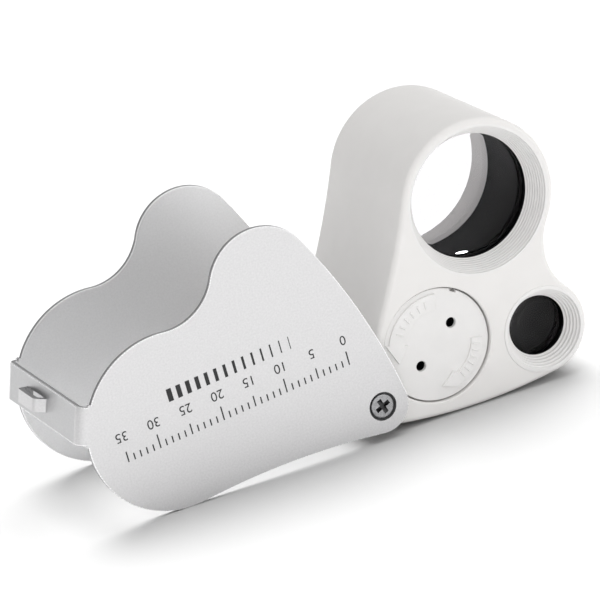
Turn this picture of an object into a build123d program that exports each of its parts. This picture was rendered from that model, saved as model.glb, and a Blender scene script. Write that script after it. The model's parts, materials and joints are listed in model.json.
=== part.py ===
from build123d import *
import math
import os

# Folding two-lens LED loupe, in millimetres.
# Every piece is first built on the bench: lens axes along Z, front faces towards +Z,
# pivot axis on Z, and the big lens straight out from the pivot along +X.
# The lens body and the cover are then turned about the pivot and stood up on edge.

# Standing pose
BODY_TURN = 50.1            # direction from the pivot to the big lens
COVER_TURN = 165.92         # direction from the pivot to the cover's big lobe

# Centres of the two lobes, and of the battery cover, seen from the pivot
BIG_REACH = 32.0
SMALL_REACH = 27.4
SMALL_TURN = -44.1
CELL_REACH = 11.9
CELL_TURN = -22.0

# Lens body
BODY_DEPTH = 24.4
BODY_BIG_R = 11.9
BODY_SMALL_R = 6.9
BODY_CORNER_R = 3.6
BODY_FLANK_R = 116.0        # hollow side between pivot and big lobe
BODY_BELLY_R = 82.0         # bulging side between pivot and small lobe
BODY_SADDLE_R = 9.05        # hollow between the two lobes
WALL = 1.2
FRONT_WALL = 1.8
FRONT_EDGE_R = 0.8
BACK_EDGE_R = 0.5
LID_THICK = 1.6
LID_GAP = 0.05

# Bent sheet cover
SHEET = 0.8
COVER_DEPTH = 27.2
COVER_BIG_R = 12.95
COVER_SMALL_R = 7.95
COVER_CORNER_R = 4.05
COVER_FLANK_R = 112.0
COVER_BELLY_R = 92.0
COVER_SADDLE_R = 8.0
STRAP_FACE = 46.3           # outer face of the strap, from the pivot axis
STRAP_WIDTH = 5.5
BEND_R = 1.5
LOOP_WIDTH = 1.9            # lanced lanyard loop across the strap
LOOP_LENGTH = 7.2
LOOP_RISE = 1.7
LOOP_OFFSET = -2.0          # towards the back plate
LOOP_RAMP = 0.6             # length of each steep end of the loop

# Pivot
SHAFT_R = 1.6
SHAFT_CLEARANCE = 0.03
BOSS_R = 2.65
BUSH_R = 2.1
SCREW_HEAD_R = 1.75
SCREW_HEAD_H = 0.5
SCREW_SHANK_R = 0.95
SCREW_LENGTH = 5.0
SCREW_EDGE_R = 0.2
WASHER_R = 3.9
CROSS_ARM = 2.2             # tip to tip
CROSS_WIDTH = 0.5
CROSS_DEPTH = 0.4

# Big lens train
BIG_RING_R = 11.05
BIG_MOUTH_R = 10.95
BIG_EYE_R = 9.05
BIG_EYE_DEPTH = 3.1
BIG_RIDGES = 8
BIG_RING_DROP = 1.4         # below the front wall
BIG_TUBE_R = 10.3
BIG_BORE_R = 9.35
BIG_LENS_R = 9.7
BIG_LENS_RIM = 0.7          # flat rim around the curved part
BIG_SEAT_R = 9.75
BIG_TUBE_END = 19.3         # depth of the black tube's back end below the front face
BIG_LENS_CURVE = 110.0
BIG_BACK_CURVE = 57.0
BIG_LENS_EDGE = 1.4
BIG_SPACER = 1.3
BIG_BACK_MOUTH_R = 10.25
BIG_COLLAR_R = 10.65        # lid's collar, just inside the wall
BIG_BACK_STEP = 1.2
LENS_STEP = 0.5             # lip in front of each lens
RETAINER_H = 0.8

# Small lens train
SMALL_RING_R = 6.4
SMALL_BEAD = 0.15
SMALL_MOUTH_R = 5.8
SMALL_EYE_R = 4.4
SMALL_EYE_DEPTH = 2.3
SMALL_RIDGES = 5
SMALL_RING_DROP = 0.6
SMALL_TUBE_R = 5.3
SMALL_BORE_R = 4.5
SMALL_LENS_R = 4.75
SMALL_LENS_RIM = 0.4
SMALL_SEAT_R = 4.8
SMALL_TUBE_END = 19.0
SMALL_LENS_CURVE = 13.0
SMALL_LENS_EDGE = 1.3
SMALL_SPACER = 1.6
SMALL_STOP_R = 3.3
SMALL_STOP_H = 0.8
SMALL_BACK_MOUTH_R = 4.9

# Battery compartment
CAP_R = 8.25
CAP_HOLE_R = 8.45
CAP_RECESS = 0.5            # face of the cover below the front of the body
CAP_THICK = 1.2
CAP_EDGE = 0.15
CAP_PLUG_R = 6.6
CAP_NOTCH_TURN = 10.9       # index notch in the rim, seen from the pivot to big lens line
CAP_NOTCH_WIDTH = 1.0
CAP_NOTCH_DEPTH = 0.35
LEDGE_R = 6.9               # ledge that the two lugs catch under
LEDGE_THICK = 0.5
LUG_REACH = 7.9
LUG_WIDTH = 1.6
LUG_H = 0.55
LUG_PLAY = 0.15
LUG_TURN = -15.1
RELEASE_TURN = 45.0
PIN_HOLE_R = 0.75
PIN_HOLE_REACH = 3.75
PIN_HOLE_TURN = -9.0
PIN_HOLE_DEPTH = 2.0
CUP_R = 7.1
CUP_BORE_R = 6.1
CUP_FLOOR = 1.2
WELL_R = 9.1                # wall around the lugs
WELL_SHELF = 1.0
CELL_R = 5.8
CELL_H = 3.05
CELL_STEP = 0.4             # height of the smaller can on the negative side
CELL_COUNT = 3
CONTACT_R = 4.8
CONTACT_H = 0.35
STRIP = 0.25                # contact metal thickness
SPRING_H = 1.9
SPRING_HALF = 4.0
SPRING_WIDTH = 3.0
SPRING_TURN = 60.0
STRIP_WIDTH = 2.4
STRIP_TURN = 8.0

# Lamp switch, worked by the flat on the shaft
SWITCH_TURN = CELL_TURN
SWITCH_DROP = 2.0           # below the floor of the battery cup
SWITCH_LEAF = 7.0
SWITCH_LEAF_WIDTH = 2.0
SWITCH_FOOT = 2.05
SWITCH_BLOCK = 1.6
SWITCH_WINDOW = 2.4
SWITCH_FLAT = 0.8           # distance of the flat from the shaft's axis
SWITCH_FLAT_H = 3.0

# Lamps and wiring
LAMP_R = 1.5
LAMP_FLANGE_R = 1.8
LAMP_FLANGE_H = 0.6
LAMP_BODY = 3.2
LAMP_TILT = 25.0            # lamps look towards the back
LAMP_Z = 1.4
LAMP_POKE = 0.45            # how far each lamp stands into its tube
BOARD_LENGTH = 4.6
BOARD_WIDTH = 3.6
BOARD_THICK = 0.8
BOARD_TURN = -30.0
BOARD_Z = -2.2
WIRE_R = 0.3
WIRE_BEND = 0.9

# Levels along the lens axes
FRONT = BODY_DEPTH / 2
BACK = -BODY_DEPTH / 2
PLATE_FACE = COVER_DEPTH / 2
CEILING = FRONT - FRONT_WALL
LID_FLOOR = BACK + LID_THICK
LEDGE_Z = CEILING - LEDGE_THICK
CAP_NECK = LEDGE_Z - 0.05 - LUG_H
CHAMBER_Z = CAP_NECK - 0.1
CELL_TOP = CAP_NECK - 0.05 - CONTACT_H
CUP_BOTTOM = CELL_TOP - CELL_COUNT * CELL_H - SPRING_H
SWITCH_Z = CUP_BOTTOM - CUP_FLOOR - SWITCH_DROP
SCREW_SEAT = PLATE_FACE - SCREW_HEAD_H - 0.05


def polar(reach, turn):
    return Vector(reach * math.cos(math.radians(turn)), reach * math.sin(math.radians(turn)))


BIG = polar(BIG_REACH, 0)
SMALL = polar(SMALL_REACH, SMALL_TURN)
CELLS = polar(CELL_REACH, CELL_TURN)
PIVOT = Vector(0, 0)

# Screws of the back lid, clear of the lens tubes and the battery cup
LID_SCREWS = (Vector(19.3, 4.2), polar(17.5, -57.0), Vector(25.5, -14.2))
LID_BOSS_R = 1.55
LID_HOLE_R = 0.55
LID_SCREW_HEAD_R = 1.2
LID_SCREW_HEAD_H = 0.7
LID_SCREW_LENGTH = 5.0
LID_SCREW_POINT = 0.6

# Middle of the free space between the two lens tubes and the cup
WEB = Vector(21.4, -8.8)


def meeting(centre_a, reach_a, centre_b, reach_b, left):
    """Point at reach_a from one centre and reach_b from the other, on the chosen side."""
    across = centre_b - centre_a
    gap = across.length
    along = (reach_a ** 2 - reach_b ** 2 + gap ** 2) / (2 * gap)
    height = math.sqrt(reach_a ** 2 - along ** 2)
    unit = across / gap
    side = Vector(-unit.Y, unit.X) * (height if left else -height)
    return centre_a + unit * along + side


def towards(start, target, distance):
    return start + (target - start).normalized() * distance


def lobed_face(big_r, small_r, corner_r, flank_r, belly_r, saddle_r, inset=0.0):
    """Outline of two lobes and a pivot corner, joined by three large tangent arcs."""
    big_r, small_r, corner_r = big_r - inset, small_r - inset, corner_r - inset
    flank_r, belly_r, saddle_r = flank_r + inset, belly_r - inset, saddle_r + inset
    flank = meeting(PIVOT, corner_r + flank_r, BIG, big_r + flank_r, True)
    belly = meeting(PIVOT, belly_r - corner_r, SMALL, belly_r - small_r, True)
    saddle = meeting(BIG, big_r + saddle_r, SMALL, small_r + saddle_r, True)
    corner_flank = towards(PIVOT, flank, corner_r)
    big_flank = towards(BIG, flank, big_r)
    big_saddle = towards(BIG, saddle, big_r)
    small_saddle = towards(SMALL, saddle, small_r)
    small_belly = towards(SMALL, belly, -small_r)
    corner_belly = towards(PIVOT, belly, -corner_r)
    edges = [
        ThreePointArc(corner_flank, towards(flank, (corner_flank + big_flank) / 2, flank_r), big_flank),
        ThreePointArc(big_flank, BIG + Vector(big_r, 0), big_saddle),
        ThreePointArc(big_saddle, towards(saddle, (big_saddle + small_saddle) / 2, saddle_r), small_saddle),
        ThreePointArc(small_saddle, towards(PIVOT, SMALL, SMALL_REACH + small_r), small_belly),
        ThreePointArc(small_belly, towards(belly, (small_belly + corner_belly) / 2, belly_r), corner_belly),
        ThreePointArc(corner_belly, polar(-corner_r, SMALL_TURN / 2), corner_flank),
    ]
    return make_face(edges)


def body_face(inset=0.0):
    return lobed_face(BODY_BIG_R, BODY_SMALL_R, BODY_CORNER_R,
                      BODY_FLANK_R, BODY_BELLY_R, BODY_SADDLE_R, inset)


def cover_face():
    return lobed_face(COVER_BIG_R, COVER_SMALL_R, COVER_CORNER_R,
                      COVER_FLANK_R, COVER_BELLY_R, COVER_SADDLE_R)


def slab(face, bottom, top):
    return Pos(0, 0, bottom) * extrude(face, top - bottom)


def post(centre, radius, bottom, top):
    return Pos(centre.X, centre.Y, (bottom + top) / 2) * Cylinder(radius, top - bottom)


def pipe(centre, outer, inner, bottom, top):
    return post(centre, outer, bottom, top) - post(centre, inner, bottom, top)


def turned(centre, profile):
    """Solid of revolution about a Z axis; the profile is (radius, height) pairs."""
    face = make_face(Plane.XZ * Polyline(*profile, close=True))
    return Pos(centre.X, centre.Y, 0) * revolve(face, Axis.Z)


def front_edges(solid):
    return solid.edges().group_by(Axis.Z)[-1]


def back_edges(solid):
    return solid.edges().group_by(Axis.Z)[0]


def cross_recess(top):
    arm = Box(CROSS_ARM, CROSS_WIDTH, CROSS_DEPTH)
    return Pos(0, 0, top - CROSS_DEPTH / 2) * (arm + Rot(0, 0, 90) * arm)


# ---- cover and pivot ----

def strap():
    """U-shaped strap that joins the two plates, with its lanced lanyard loop."""
    root = BIG_REACH + COVER_BIG_R - 4.0
    inner_face = STRAP_FACE - SHEET
    outer = Box(STRAP_FACE - root, STRAP_WIDTH, COVER_DEPTH)
    outer = fillet(outer.edges().filter_by(Axis.Y).group_by(Axis.X)[-1], BEND_R)
    inner = Box(inner_face - root, STRAP_WIDTH, COVER_DEPTH - 2 * SHEET)
    inner = fillet(inner.edges().filter_by(Axis.Y).group_by(Axis.X)[-1], BEND_R - SHEET)
    band = Pos((root + STRAP_FACE) / 2, 0, 0) * outer - Pos((root + inner_face) / 2, 0, 0) * inner
    slit = Pos(inner_face + SHEET / 2, 0, LOOP_OFFSET) * Box(2 * SHEET, LOOP_WIDTH, LOOP_LENGTH)
    return band - slit + lanyard_loop()


def lanyard_loop():
    """Strip pushed out of the strap: two steep ends and a flat top, one sheet thick."""
    half = LOOP_LENGTH / 2
    top = STRAP_FACE + LOOP_RISE
    low = STRAP_FACE - SHEET
    slope = LOOP_RAMP / LOOP_RISE
    wall = SHEET * math.sqrt(1 + slope ** 2)
    inner_low = half - wall + slope * SHEET
    inner_top = half - wall - slope * (LOOP_RISE - SHEET)
    outside = [(low, -half), (STRAP_FACE, -half), (top, LOOP_RAMP - half),
               (top, half - LOOP_RAMP), (STRAP_FACE, half), (low, half)]
    inside = [(low, inner_low), (top - SHEET, inner_top), (top - SHEET, -inner_top), (low, -inner_low)]
    outline = Polyline(*outside, *inside, close=True)
    strip = extrude(make_face(Plane.XZ * outline), LOOP_WIDTH / 2, both=True)
    crests = strip.edges().filter_by(Axis.Y).group_by(Axis.X)[-1]
    return Pos(0, 0, LOOP_OFFSET) * fillet(crests, SHEET)


def cover_sheet():
    plate = cover_face()
    front_plate = slab(plate, PLATE_FACE - SHEET, PLATE_FACE)
    back_plate = slab(plate, -PLATE_FACE, SHEET - PLATE_FACE)
    return front_plate + back_plate + strap() - post(PIVOT, BUSH_R, -PLATE_FACE, PLATE_FACE)


def pivot_bush():
    """Steel bush pressed into a plate; the screw clamps it to the end of the shaft."""
    return pipe(PIVOT, BUSH_R, SCREW_SHANK_R + 0.05, FRONT + 0.05, SCREW_SEAT)


def pivot_screw():
    top = SCREW_SEAT + SCREW_HEAD_H
    head = post(PIVOT, SCREW_HEAD_R, SCREW_SEAT, top)
    head = fillet(front_edges(head), SCREW_EDGE_R) - cross_recess(top)
    return head + post(PIVOT, SCREW_SHANK_R, SCREW_SEAT - SCREW_LENGTH, SCREW_SEAT)


def pivot_washer():
    return pipe(PIVOT, WASHER_R, BUSH_R + 0.05, FRONT + 0.08, PLATE_FACE - SHEET)


def pivot_shaft():
    """Brass shaft, tapped at both ends, with a flat that works the lamp switch."""
    end = FRONT + 0.05
    shaft = post(PIVOT, SHAFT_R, -end, end)
    bore = post(PIVOT, SCREW_SHANK_R, end - SCREW_LENGTH, end)
    flat = Pos(SWITCH_FLAT + SHAFT_R, 0, SWITCH_Z) * Box(2 * SHAFT_R, 2 * SHAFT_R, SWITCH_FLAT_H)
    flat_turn = SWITCH_TURN + BODY_TURN - COVER_TURN
    return shaft - bore - mirror(bore, Plane.XY) - Rot(0, 0, flat_turn) * flat


# ---- lens body ----

def lamp_frame(centre, bore_r):
    """Frame at a lamp's tip, with Z along the lamp, which looks from the web into a lens tube."""
    aim = (centre - WEB).normalized()
    tilt = math.radians(LAMP_TILT)
    axis = Vector(aim.X * math.cos(tilt), aim.Y * math.cos(tilt), -math.sin(tilt))
    tip = centre - aim * (bore_r - LAMP_POKE)
    return Plane(origin=(tip.X, tip.Y, LAMP_Z), z_dir=axis)


def lamp_clearance(centre, bore_r):
    hole = Pos(0, 0, -LAMP_BODY / 2) * Cylinder(LAMP_R + 0.15, 2 * LAMP_BODY)
    return lamp_frame(centre, bore_r) * hole


def cap_lugs(reach, width, height):
    """Bar across the battery cover's axis with round ends: the two lugs, or their way in."""
    return Box(2 * reach, width, height) & Cylinder(reach, height)


def body_posts():
    """Everything that stands inside the shell: cup, lug chamber, pivot boss and screw bosses."""
    posts = post(CELLS, WELL_R, CHAMBER_Z - WELL_SHELF, CEILING)
    posts += post(CELLS, CUP_R, CUP_BOTTOM - CUP_FLOOR, CEILING)
    posts += post(PIVOT, BOSS_R, BACK, CEILING)
    for place in LID_SCREWS:
        posts += post(place, LID_BOSS_R, LID_FLOOR, CEILING)
    return posts


def body_shell():
    shell = slab(body_face(), BACK, FRONT)
    shell = fillet(front_edges(shell), FRONT_EDGE_R)
    shell = fillet(back_edges(shell), BACK_EDGE_R)
    shell -= slab(body_face(WALL), BACK, CEILING)
    shell += body_posts() & slab(body_face(WALL / 2), BACK, CEILING)
    for place in LID_SCREWS:
        shell -= post(place, LID_HOLE_R, BACK, BACK + LID_SCREW_LENGTH + 0.5)
    shell -= post(CELLS, CUP_BORE_R, CUP_BOTTOM, FRONT)
    shell -= post(CELLS, LUG_REACH + LUG_PLAY, CHAMBER_Z, LEDGE_Z)
    shell -= post(CELLS, LEDGE_R, LEDGE_Z, CEILING)
    shell -= post(CELLS, CAP_HOLE_R, CEILING, FRONT)
    entry = cap_lugs(LUG_REACH + LUG_PLAY, LUG_WIDTH + 2 * LUG_PLAY, LEDGE_THICK)
    entry = Rot(0, 0, LUG_TURN + RELEASE_TURN) * entry
    shell -= Pos(CELLS.X, CELLS.Y, CEILING - LEDGE_THICK / 2) * entry
    shell -= post(PIVOT, SHAFT_R + SHAFT_CLEARANCE, BACK, FRONT)
    shell -= post(BIG, BIG_RING_R, CEILING - BIG_RING_DROP, FRONT)
    shell -= post(SMALL, SMALL_RING_R, CEILING - SMALL_RING_DROP, FRONT)
    window = Pos(BOSS_R, 0, SWITCH_Z) * Box(2 * BOSS_R, SWITCH_WINDOW, SWITCH_FLAT_H)
    return shell - Rot(0, 0, SWITCH_TURN) * window


def back_lid():
    """Inset lid with a collar for each lens tube and a countersink for each screw."""
    lid = slab(body_face(WALL + LID_GAP), BACK, LID_FLOOR)
    big_end = FRONT - BIG_TUBE_END
    small_end = FRONT - SMALL_TUBE_END
    lid += post(BIG, BIG_COLLAR_R, BACK, big_end)
    lid += post(SMALL, SMALL_TUBE_R, BACK, small_end)
    step = big_end - BIG_BACK_STEP
    lid -= turned(BIG, [(0, BACK), (BIG_BACK_MOUTH_R, BACK), (BIG_BACK_MOUTH_R, step),
                        (BIG_BORE_R, step), (BIG_BORE_R, big_end), (0, big_end)])
    lid -= turned(SMALL, [(0, BACK), (SMALL_BACK_MOUTH_R, BACK), (SMALL_BORE_R, LID_FLOOR),
                          (SMALL_BORE_R, small_end), (0, small_end)])
    lid -= post(PIVOT, BOSS_R + LID_GAP, BACK, LID_FLOOR)
    throat = BACK + LID_SCREW_HEAD_H
    hole_r = LID_HOLE_R + 0.1
    for place in LID_SCREWS:
        lid -= turned(place, [(0, BACK), (LID_SCREW_HEAD_R + 0.05, BACK), (hole_r, throat),
                              (hole_r, LID_FLOOR), (0, LID_FLOOR)])
    return lid


def lid_screws():
    """Countersunk self-tapping screws, one group of separate solids."""
    tip = BACK + LID_SCREW_LENGTH
    screws = []
    for place in LID_SCREWS:
        screw = turned(place, [(0, BACK), (LID_SCREW_HEAD_R, BACK), (LID_HOLE_R, BACK + LID_SCREW_HEAD_H),
                               (LID_HOLE_R, tip - LID_SCREW_POINT), (0, tip)])
        cut = Pos(place.X, place.Y, 2 * BACK) * cross_recess(-BACK + CROSS_DEPTH)
        screws.append(screw - cut)
    return Compound(children=screws)


def ridged_ring(centre, outer, mouth, eye, depth, ridges, bead, bottom):
    """Eyepiece ring: a conical mouth cut into fine steps down to the eye opening."""
    profile = [(outer, bottom), (outer, FRONT + bead), (mouth, FRONT + bead)]
    run = (mouth - eye) / ridges
    drop = (depth + bead) / ridges
    groove = 0.35 * run
    for number in range(ridges):
        radius = mouth - number * run
        height = FRONT + bead - number * drop
        middle = radius - 0.5 * run
        profile += [(middle, height - 0.6 * drop), (middle + groove, height - 0.8 * drop),
                    (radius - run, height - drop)]
    profile += [(eye, bottom)]
    return turned(centre, profile)


def big_front_ring():
    """Stepped outside: wide in the front wall, narrow where it seats the black tube."""
    shoulder = CEILING - BIG_RING_DROP
    ring = ridged_ring(BIG, BIG_RING_R, BIG_MOUTH_R, BIG_EYE_R, BIG_EYE_DEPTH, BIG_RIDGES, 0.0,
                       big_lip())
    return ring - pipe(BIG, BIG_RING_R + 1, BIG_RING_R, shoulder - 1, shoulder)


def small_front_ring():
    return ridged_ring(SMALL, SMALL_RING_R, SMALL_MOUTH_R, SMALL_EYE_R, SMALL_EYE_DEPTH, SMALL_RIDGES,
                       SMALL_BEAD, small_lip())


def big_lip():
    return FRONT - BIG_EYE_DEPTH - 0.1


def big_lens_top():
    return big_lip() - LENS_STEP


def big_seat_end():
    return big_lens_top() - 2 * BIG_LENS_EDGE - BIG_SPACER - RETAINER_H


def big_tube():
    """Black tube: front lip, lens seat, bore, and the opening for its lamp."""
    lip = big_lip()
    seat = big_lens_top()
    seat_end = big_seat_end()
    end = FRONT - BIG_TUBE_END
    tube = turned(BIG, [(BIG_EYE_R, lip), (BIG_EYE_R, seat), (BIG_SEAT_R, seat), (BIG_SEAT_R, seat_end),
                        (BIG_BORE_R, seat_end), (BIG_BORE_R, end), (BIG_TUBE_R, end), (BIG_TUBE_R, lip)])
    return tube - lamp_clearance(BIG, BIG_BORE_R)


def lens(centre, radius, rim, top, edge, front_curve, back_curve):
    """Lens blank: a disc with a flat rim, whose faces bulge by their curve; None is a flat face."""
    clear = radius - rim

    def face_edges(curve, height, up):
        if curve is None:
            return [Line((0, height), (radius, height))], height
        rise = curve - math.sqrt(curve ** 2 - clear ** 2)
        middle = curve - math.sqrt(curve ** 2 - clear ** 2 / 4)
        tip = height + up * rise
        arc = ThreePointArc((0, tip), (clear / 2, tip - up * middle), (clear, height))
        return [arc, Line((clear, height), (radius, height))], tip

    crown, crown_tip = face_edges(front_curve, top, 1)
    base, base_tip = face_edges(back_curve, top - edge, -1)
    sides = [Line((radius, top), (radius, top - edge)), Line((0, crown_tip), (0, base_tip))]
    face = make_face(Plane.XZ * Curve(crown + base + sides))
    return Pos(centre.X, centre.Y, 0) * revolve(face, Axis.Z)


def big_lens_front():
    top = big_lens_top()
    return lens(BIG, BIG_LENS_R, BIG_LENS_RIM, top, BIG_LENS_EDGE, BIG_LENS_CURVE, BIG_LENS_CURVE)


def big_lens_back():
    top = big_lens_top() - BIG_LENS_EDGE - BIG_SPACER
    return lens(BIG, BIG_LENS_R, BIG_LENS_RIM, top, BIG_LENS_EDGE, BIG_BACK_CURVE, None)


def big_lens_spacer():
    top = big_lens_top() - BIG_LENS_EDGE
    return pipe(BIG, BIG_LENS_R, BIG_BORE_R - 0.1, top - BIG_SPACER, top)


def big_retaining_ring():
    bottom = big_seat_end()
    return pipe(BIG, BIG_LENS_R, BIG_BORE_R - 0.1, bottom, bottom + RETAINER_H)


def small_lip():
    return FRONT - SMALL_EYE_DEPTH - 0.1


def small_lens_top():
    return small_lip() - LENS_STEP


def small_seat_end():
    return small_lens_top() - 2 * SMALL_LENS_EDGE - SMALL_SPACER - RETAINER_H


def small_tube():
    """Black tube like the big one, with a stop that narrows its back end."""
    lip = small_lip()
    seat = small_lens_top()
    seat_end = small_seat_end()
    end = FRONT - SMALL_TUBE_END
    stop = end + SMALL_STOP_H
    tube = turned(SMALL, [(SMALL_EYE_R, lip), (SMALL_EYE_R, seat), (SMALL_SEAT_R, seat),
                          (SMALL_SEAT_R, seat_end), (SMALL_BORE_R, seat_end), (SMALL_BORE_R, stop),
                          (SMALL_STOP_R, stop), (SMALL_STOP_R, end), (SMALL_TUBE_R, end),
                          (SMALL_TUBE_R, lip)])
    return tube - lamp_clearance(SMALL, SMALL_BORE_R)


def small_lens_front():
    top = small_lens_top() - 0.1
    return lens(SMALL, SMALL_LENS_R, SMALL_LENS_RIM, top, SMALL_LENS_EDGE,
                4 * SMALL_LENS_CURVE, SMALL_LENS_CURVE)


def small_lens_back():
    top = small_lens_top() - SMALL_LENS_EDGE - SMALL_SPACER
    return lens(SMALL, SMALL_LENS_R, SMALL_LENS_RIM, top, SMALL_LENS_EDGE,
                2 * SMALL_LENS_CURVE, None)


def small_lens_spacer():
    top = small_lens_top() - SMALL_LENS_EDGE - 0.1
    return pipe(SMALL, SMALL_LENS_R, SMALL_BORE_R - 0.1, top - SMALL_SPACER + 0.1, top)


def small_retaining_ring():
    bottom = small_seat_end()
    return pipe(SMALL, SMALL_LENS_R, SMALL_BORE_R - 0.3, bottom, bottom + RETAINER_H)


# ---- battery compartment ----

def battery_cover():
    """Bayonet disc: a plug over the cells, two lugs, two spanner holes and an index notch."""
    face = FRONT - CAP_RECESS
    under = face - CAP_THICK
    cap = chamfer(front_edges(post(CELLS, CAP_R, under, face)), CAP_EDGE)
    cap += post(CELLS, CAP_PLUG_R, CAP_NECK, under)
    lugs = Rot(0, 0, LUG_TURN) * cap_lugs(LUG_REACH, LUG_WIDTH, LUG_H)
    cap += Pos(CELLS.X, CELLS.Y, CAP_NECK + LUG_H / 2) * lugs
    for turn in (0, 180):
        place = CELLS + polar(PIN_HOLE_REACH, PIN_HOLE_TURN + turn)
        cap -= post(place, PIN_HOLE_R, face - PIN_HOLE_DEPTH, face)
    notch = Pos(CAP_R, 0, face) * Box(2 * CAP_NOTCH_DEPTH, CAP_NOTCH_WIDTH, CAP_THICK)
    return cap - Pos(CELLS.X, CELLS.Y, 0) * Rot(0, 0, CAP_NOTCH_TURN) * notch


def cover_contact():
    """Springy contact disc riveted under the battery cover."""
    return post(CELLS, CONTACT_R, CAP_NECK - CONTACT_H, CAP_NECK)


def button_cell(number):
    """Cell with a smaller can on its negative side, which faces the back."""
    top = CELL_TOP - number * CELL_H
    shoulder = top - CELL_H + CELL_STEP
    can = fillet(front_edges(post(CELLS, CELL_R, shoulder, top)), 0.3)
    return can + post(CELLS, CELL_R - 0.9, top - CELL_H, shoulder)


def negative_spring():
    """Folded leaf under the cells: a foot on the cup's floor and an arm that presses up."""
    low = CUP_BOTTOM
    top = low + SPRING_H
    knee = low + SPRING_H / 2
    arm = SPRING_HALF - 1.0
    bulge = SPRING_HALF + 0.4
    outside = [(-SPRING_HALF, low), (SPRING_HALF, low), (bulge, knee), (arm, top), (-arm, top)]
    inside = [(-arm, top - STRIP), (arm - 0.1, top - STRIP), (bulge - 0.3, knee),
              (SPRING_HALF - 0.2, low + STRIP), (-SPRING_HALF, low + STRIP)]
    outline = Polyline(*outside, *inside, close=True)
    leaf = extrude(make_face(Plane.XZ * outline), SPRING_WIDTH / 2, both=True)
    return Pos(CELLS.X, CELLS.Y, 0) * Rot(0, 0, SPRING_TURN) * leaf


def positive_strip():
    """Contact strip down the outside of the cup, from the lug chamber to the wiring."""
    top = CHAMBER_Z - WELL_SHELF - 0.1
    low = CUP_BOTTOM - CUP_FLOOR - 1.0
    strip = Pos(CUP_R + 0.05 + STRIP / 2, 0, (low + top) / 2) * Box(STRIP, STRIP_WIDTH, top - low)
    return Pos(CELLS.X, CELLS.Y, 0) * Rot(0, 0, STRIP_TURN) * strip


# ---- lamps, board, switch and wires ----

def lamp(centre, bore_r):
    """Small round-nosed lamp with a rim flange."""
    nose = post(PIVOT, LAMP_R, -LAMP_BODY, -LAMP_R) + Pos(0, 0, -LAMP_R) * Sphere(LAMP_R)
    flange = post(PIVOT, LAMP_FLANGE_R, -LAMP_BODY - LAMP_FLANGE_H, -LAMP_BODY)
    return lamp_frame(centre, bore_r) * (nose + flange)


def lamp_board():
    """Small circuit board in the web, behind both lamps."""
    board = Rot(0, 0, BOARD_TURN) * Box(BOARD_LENGTH, BOARD_WIDTH, BOARD_THICK)
    return Pos(WEB.X, WEB.Y, BOARD_Z - BOARD_THICK / 2) * board


def series_resistor():
    length, width, height = 2.0, 1.25, 0.6
    return Pos(WEB.X, WEB.Y, BOARD_Z - BOARD_THICK - height / 2) * Box(length, width, height)


def switch_leaf():
    """Leaf that rides on the pivot shaft and is let go by its flat when the loupe shuts."""
    start = SHAFT_R + 0.1
    end = start + SWITCH_LEAF
    leaf = Pos(start + SWITCH_LEAF / 2, 0, SWITCH_Z) * Box(SWITCH_LEAF, STRIP, SWITCH_LEAF_WIDTH)
    foot = Box(STRIP, SWITCH_FOOT, SWITCH_LEAF_WIDTH)
    return Rot(0, 0, SWITCH_TURN) * (leaf + Pos(end, (SWITCH_FOOT - STRIP) / 2, SWITCH_Z) * foot)


def switch_contact():
    """Fixed contact block beside the leaf."""
    block = Pos(SHAFT_R + 5.6, -1.1, SWITCH_Z) * Box(SWITCH_BLOCK, 1.2, SWITCH_LEAF_WIDTH + 0.6)
    return Rot(0, 0, SWITCH_TURN) * block


def wire(*points):
    path = FilletPolyline(*points, radius=WIRE_BEND)
    section = Plane(origin=path @ 0, z_dir=path % 0) * Circle(WIRE_R)
    return sweep(section, path=path)


def positive_wire():
    """From the contact strip, down and across to the left end of the board."""
    start = CELLS + polar(CUP_R + 0.7, STRIP_TURN)
    low = CUP_BOTTOM - CUP_FLOOR - 0.6
    return wire((start.X, start.Y, 1.0), (start.X, start.Y, low), (WEB.X - 2.0, WEB.Y + 1.2, low))


def negative_wire():
    """From the switch leaf's foot, under the cup and up to the board."""
    start = polar(SHAFT_R + SWITCH_LEAF + 1.2, SWITCH_TURN)
    end = WEB + Vector(-1.5, -1.4)
    return wire((start.X, start.Y, SWITCH_Z), (WEB.X - 6.0, WEB.Y - 2.6, SWITCH_Z),
                (end.X, end.Y, SWITCH_Z), (end.X, end.Y, BOARD_Z - BOARD_THICK))


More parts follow.
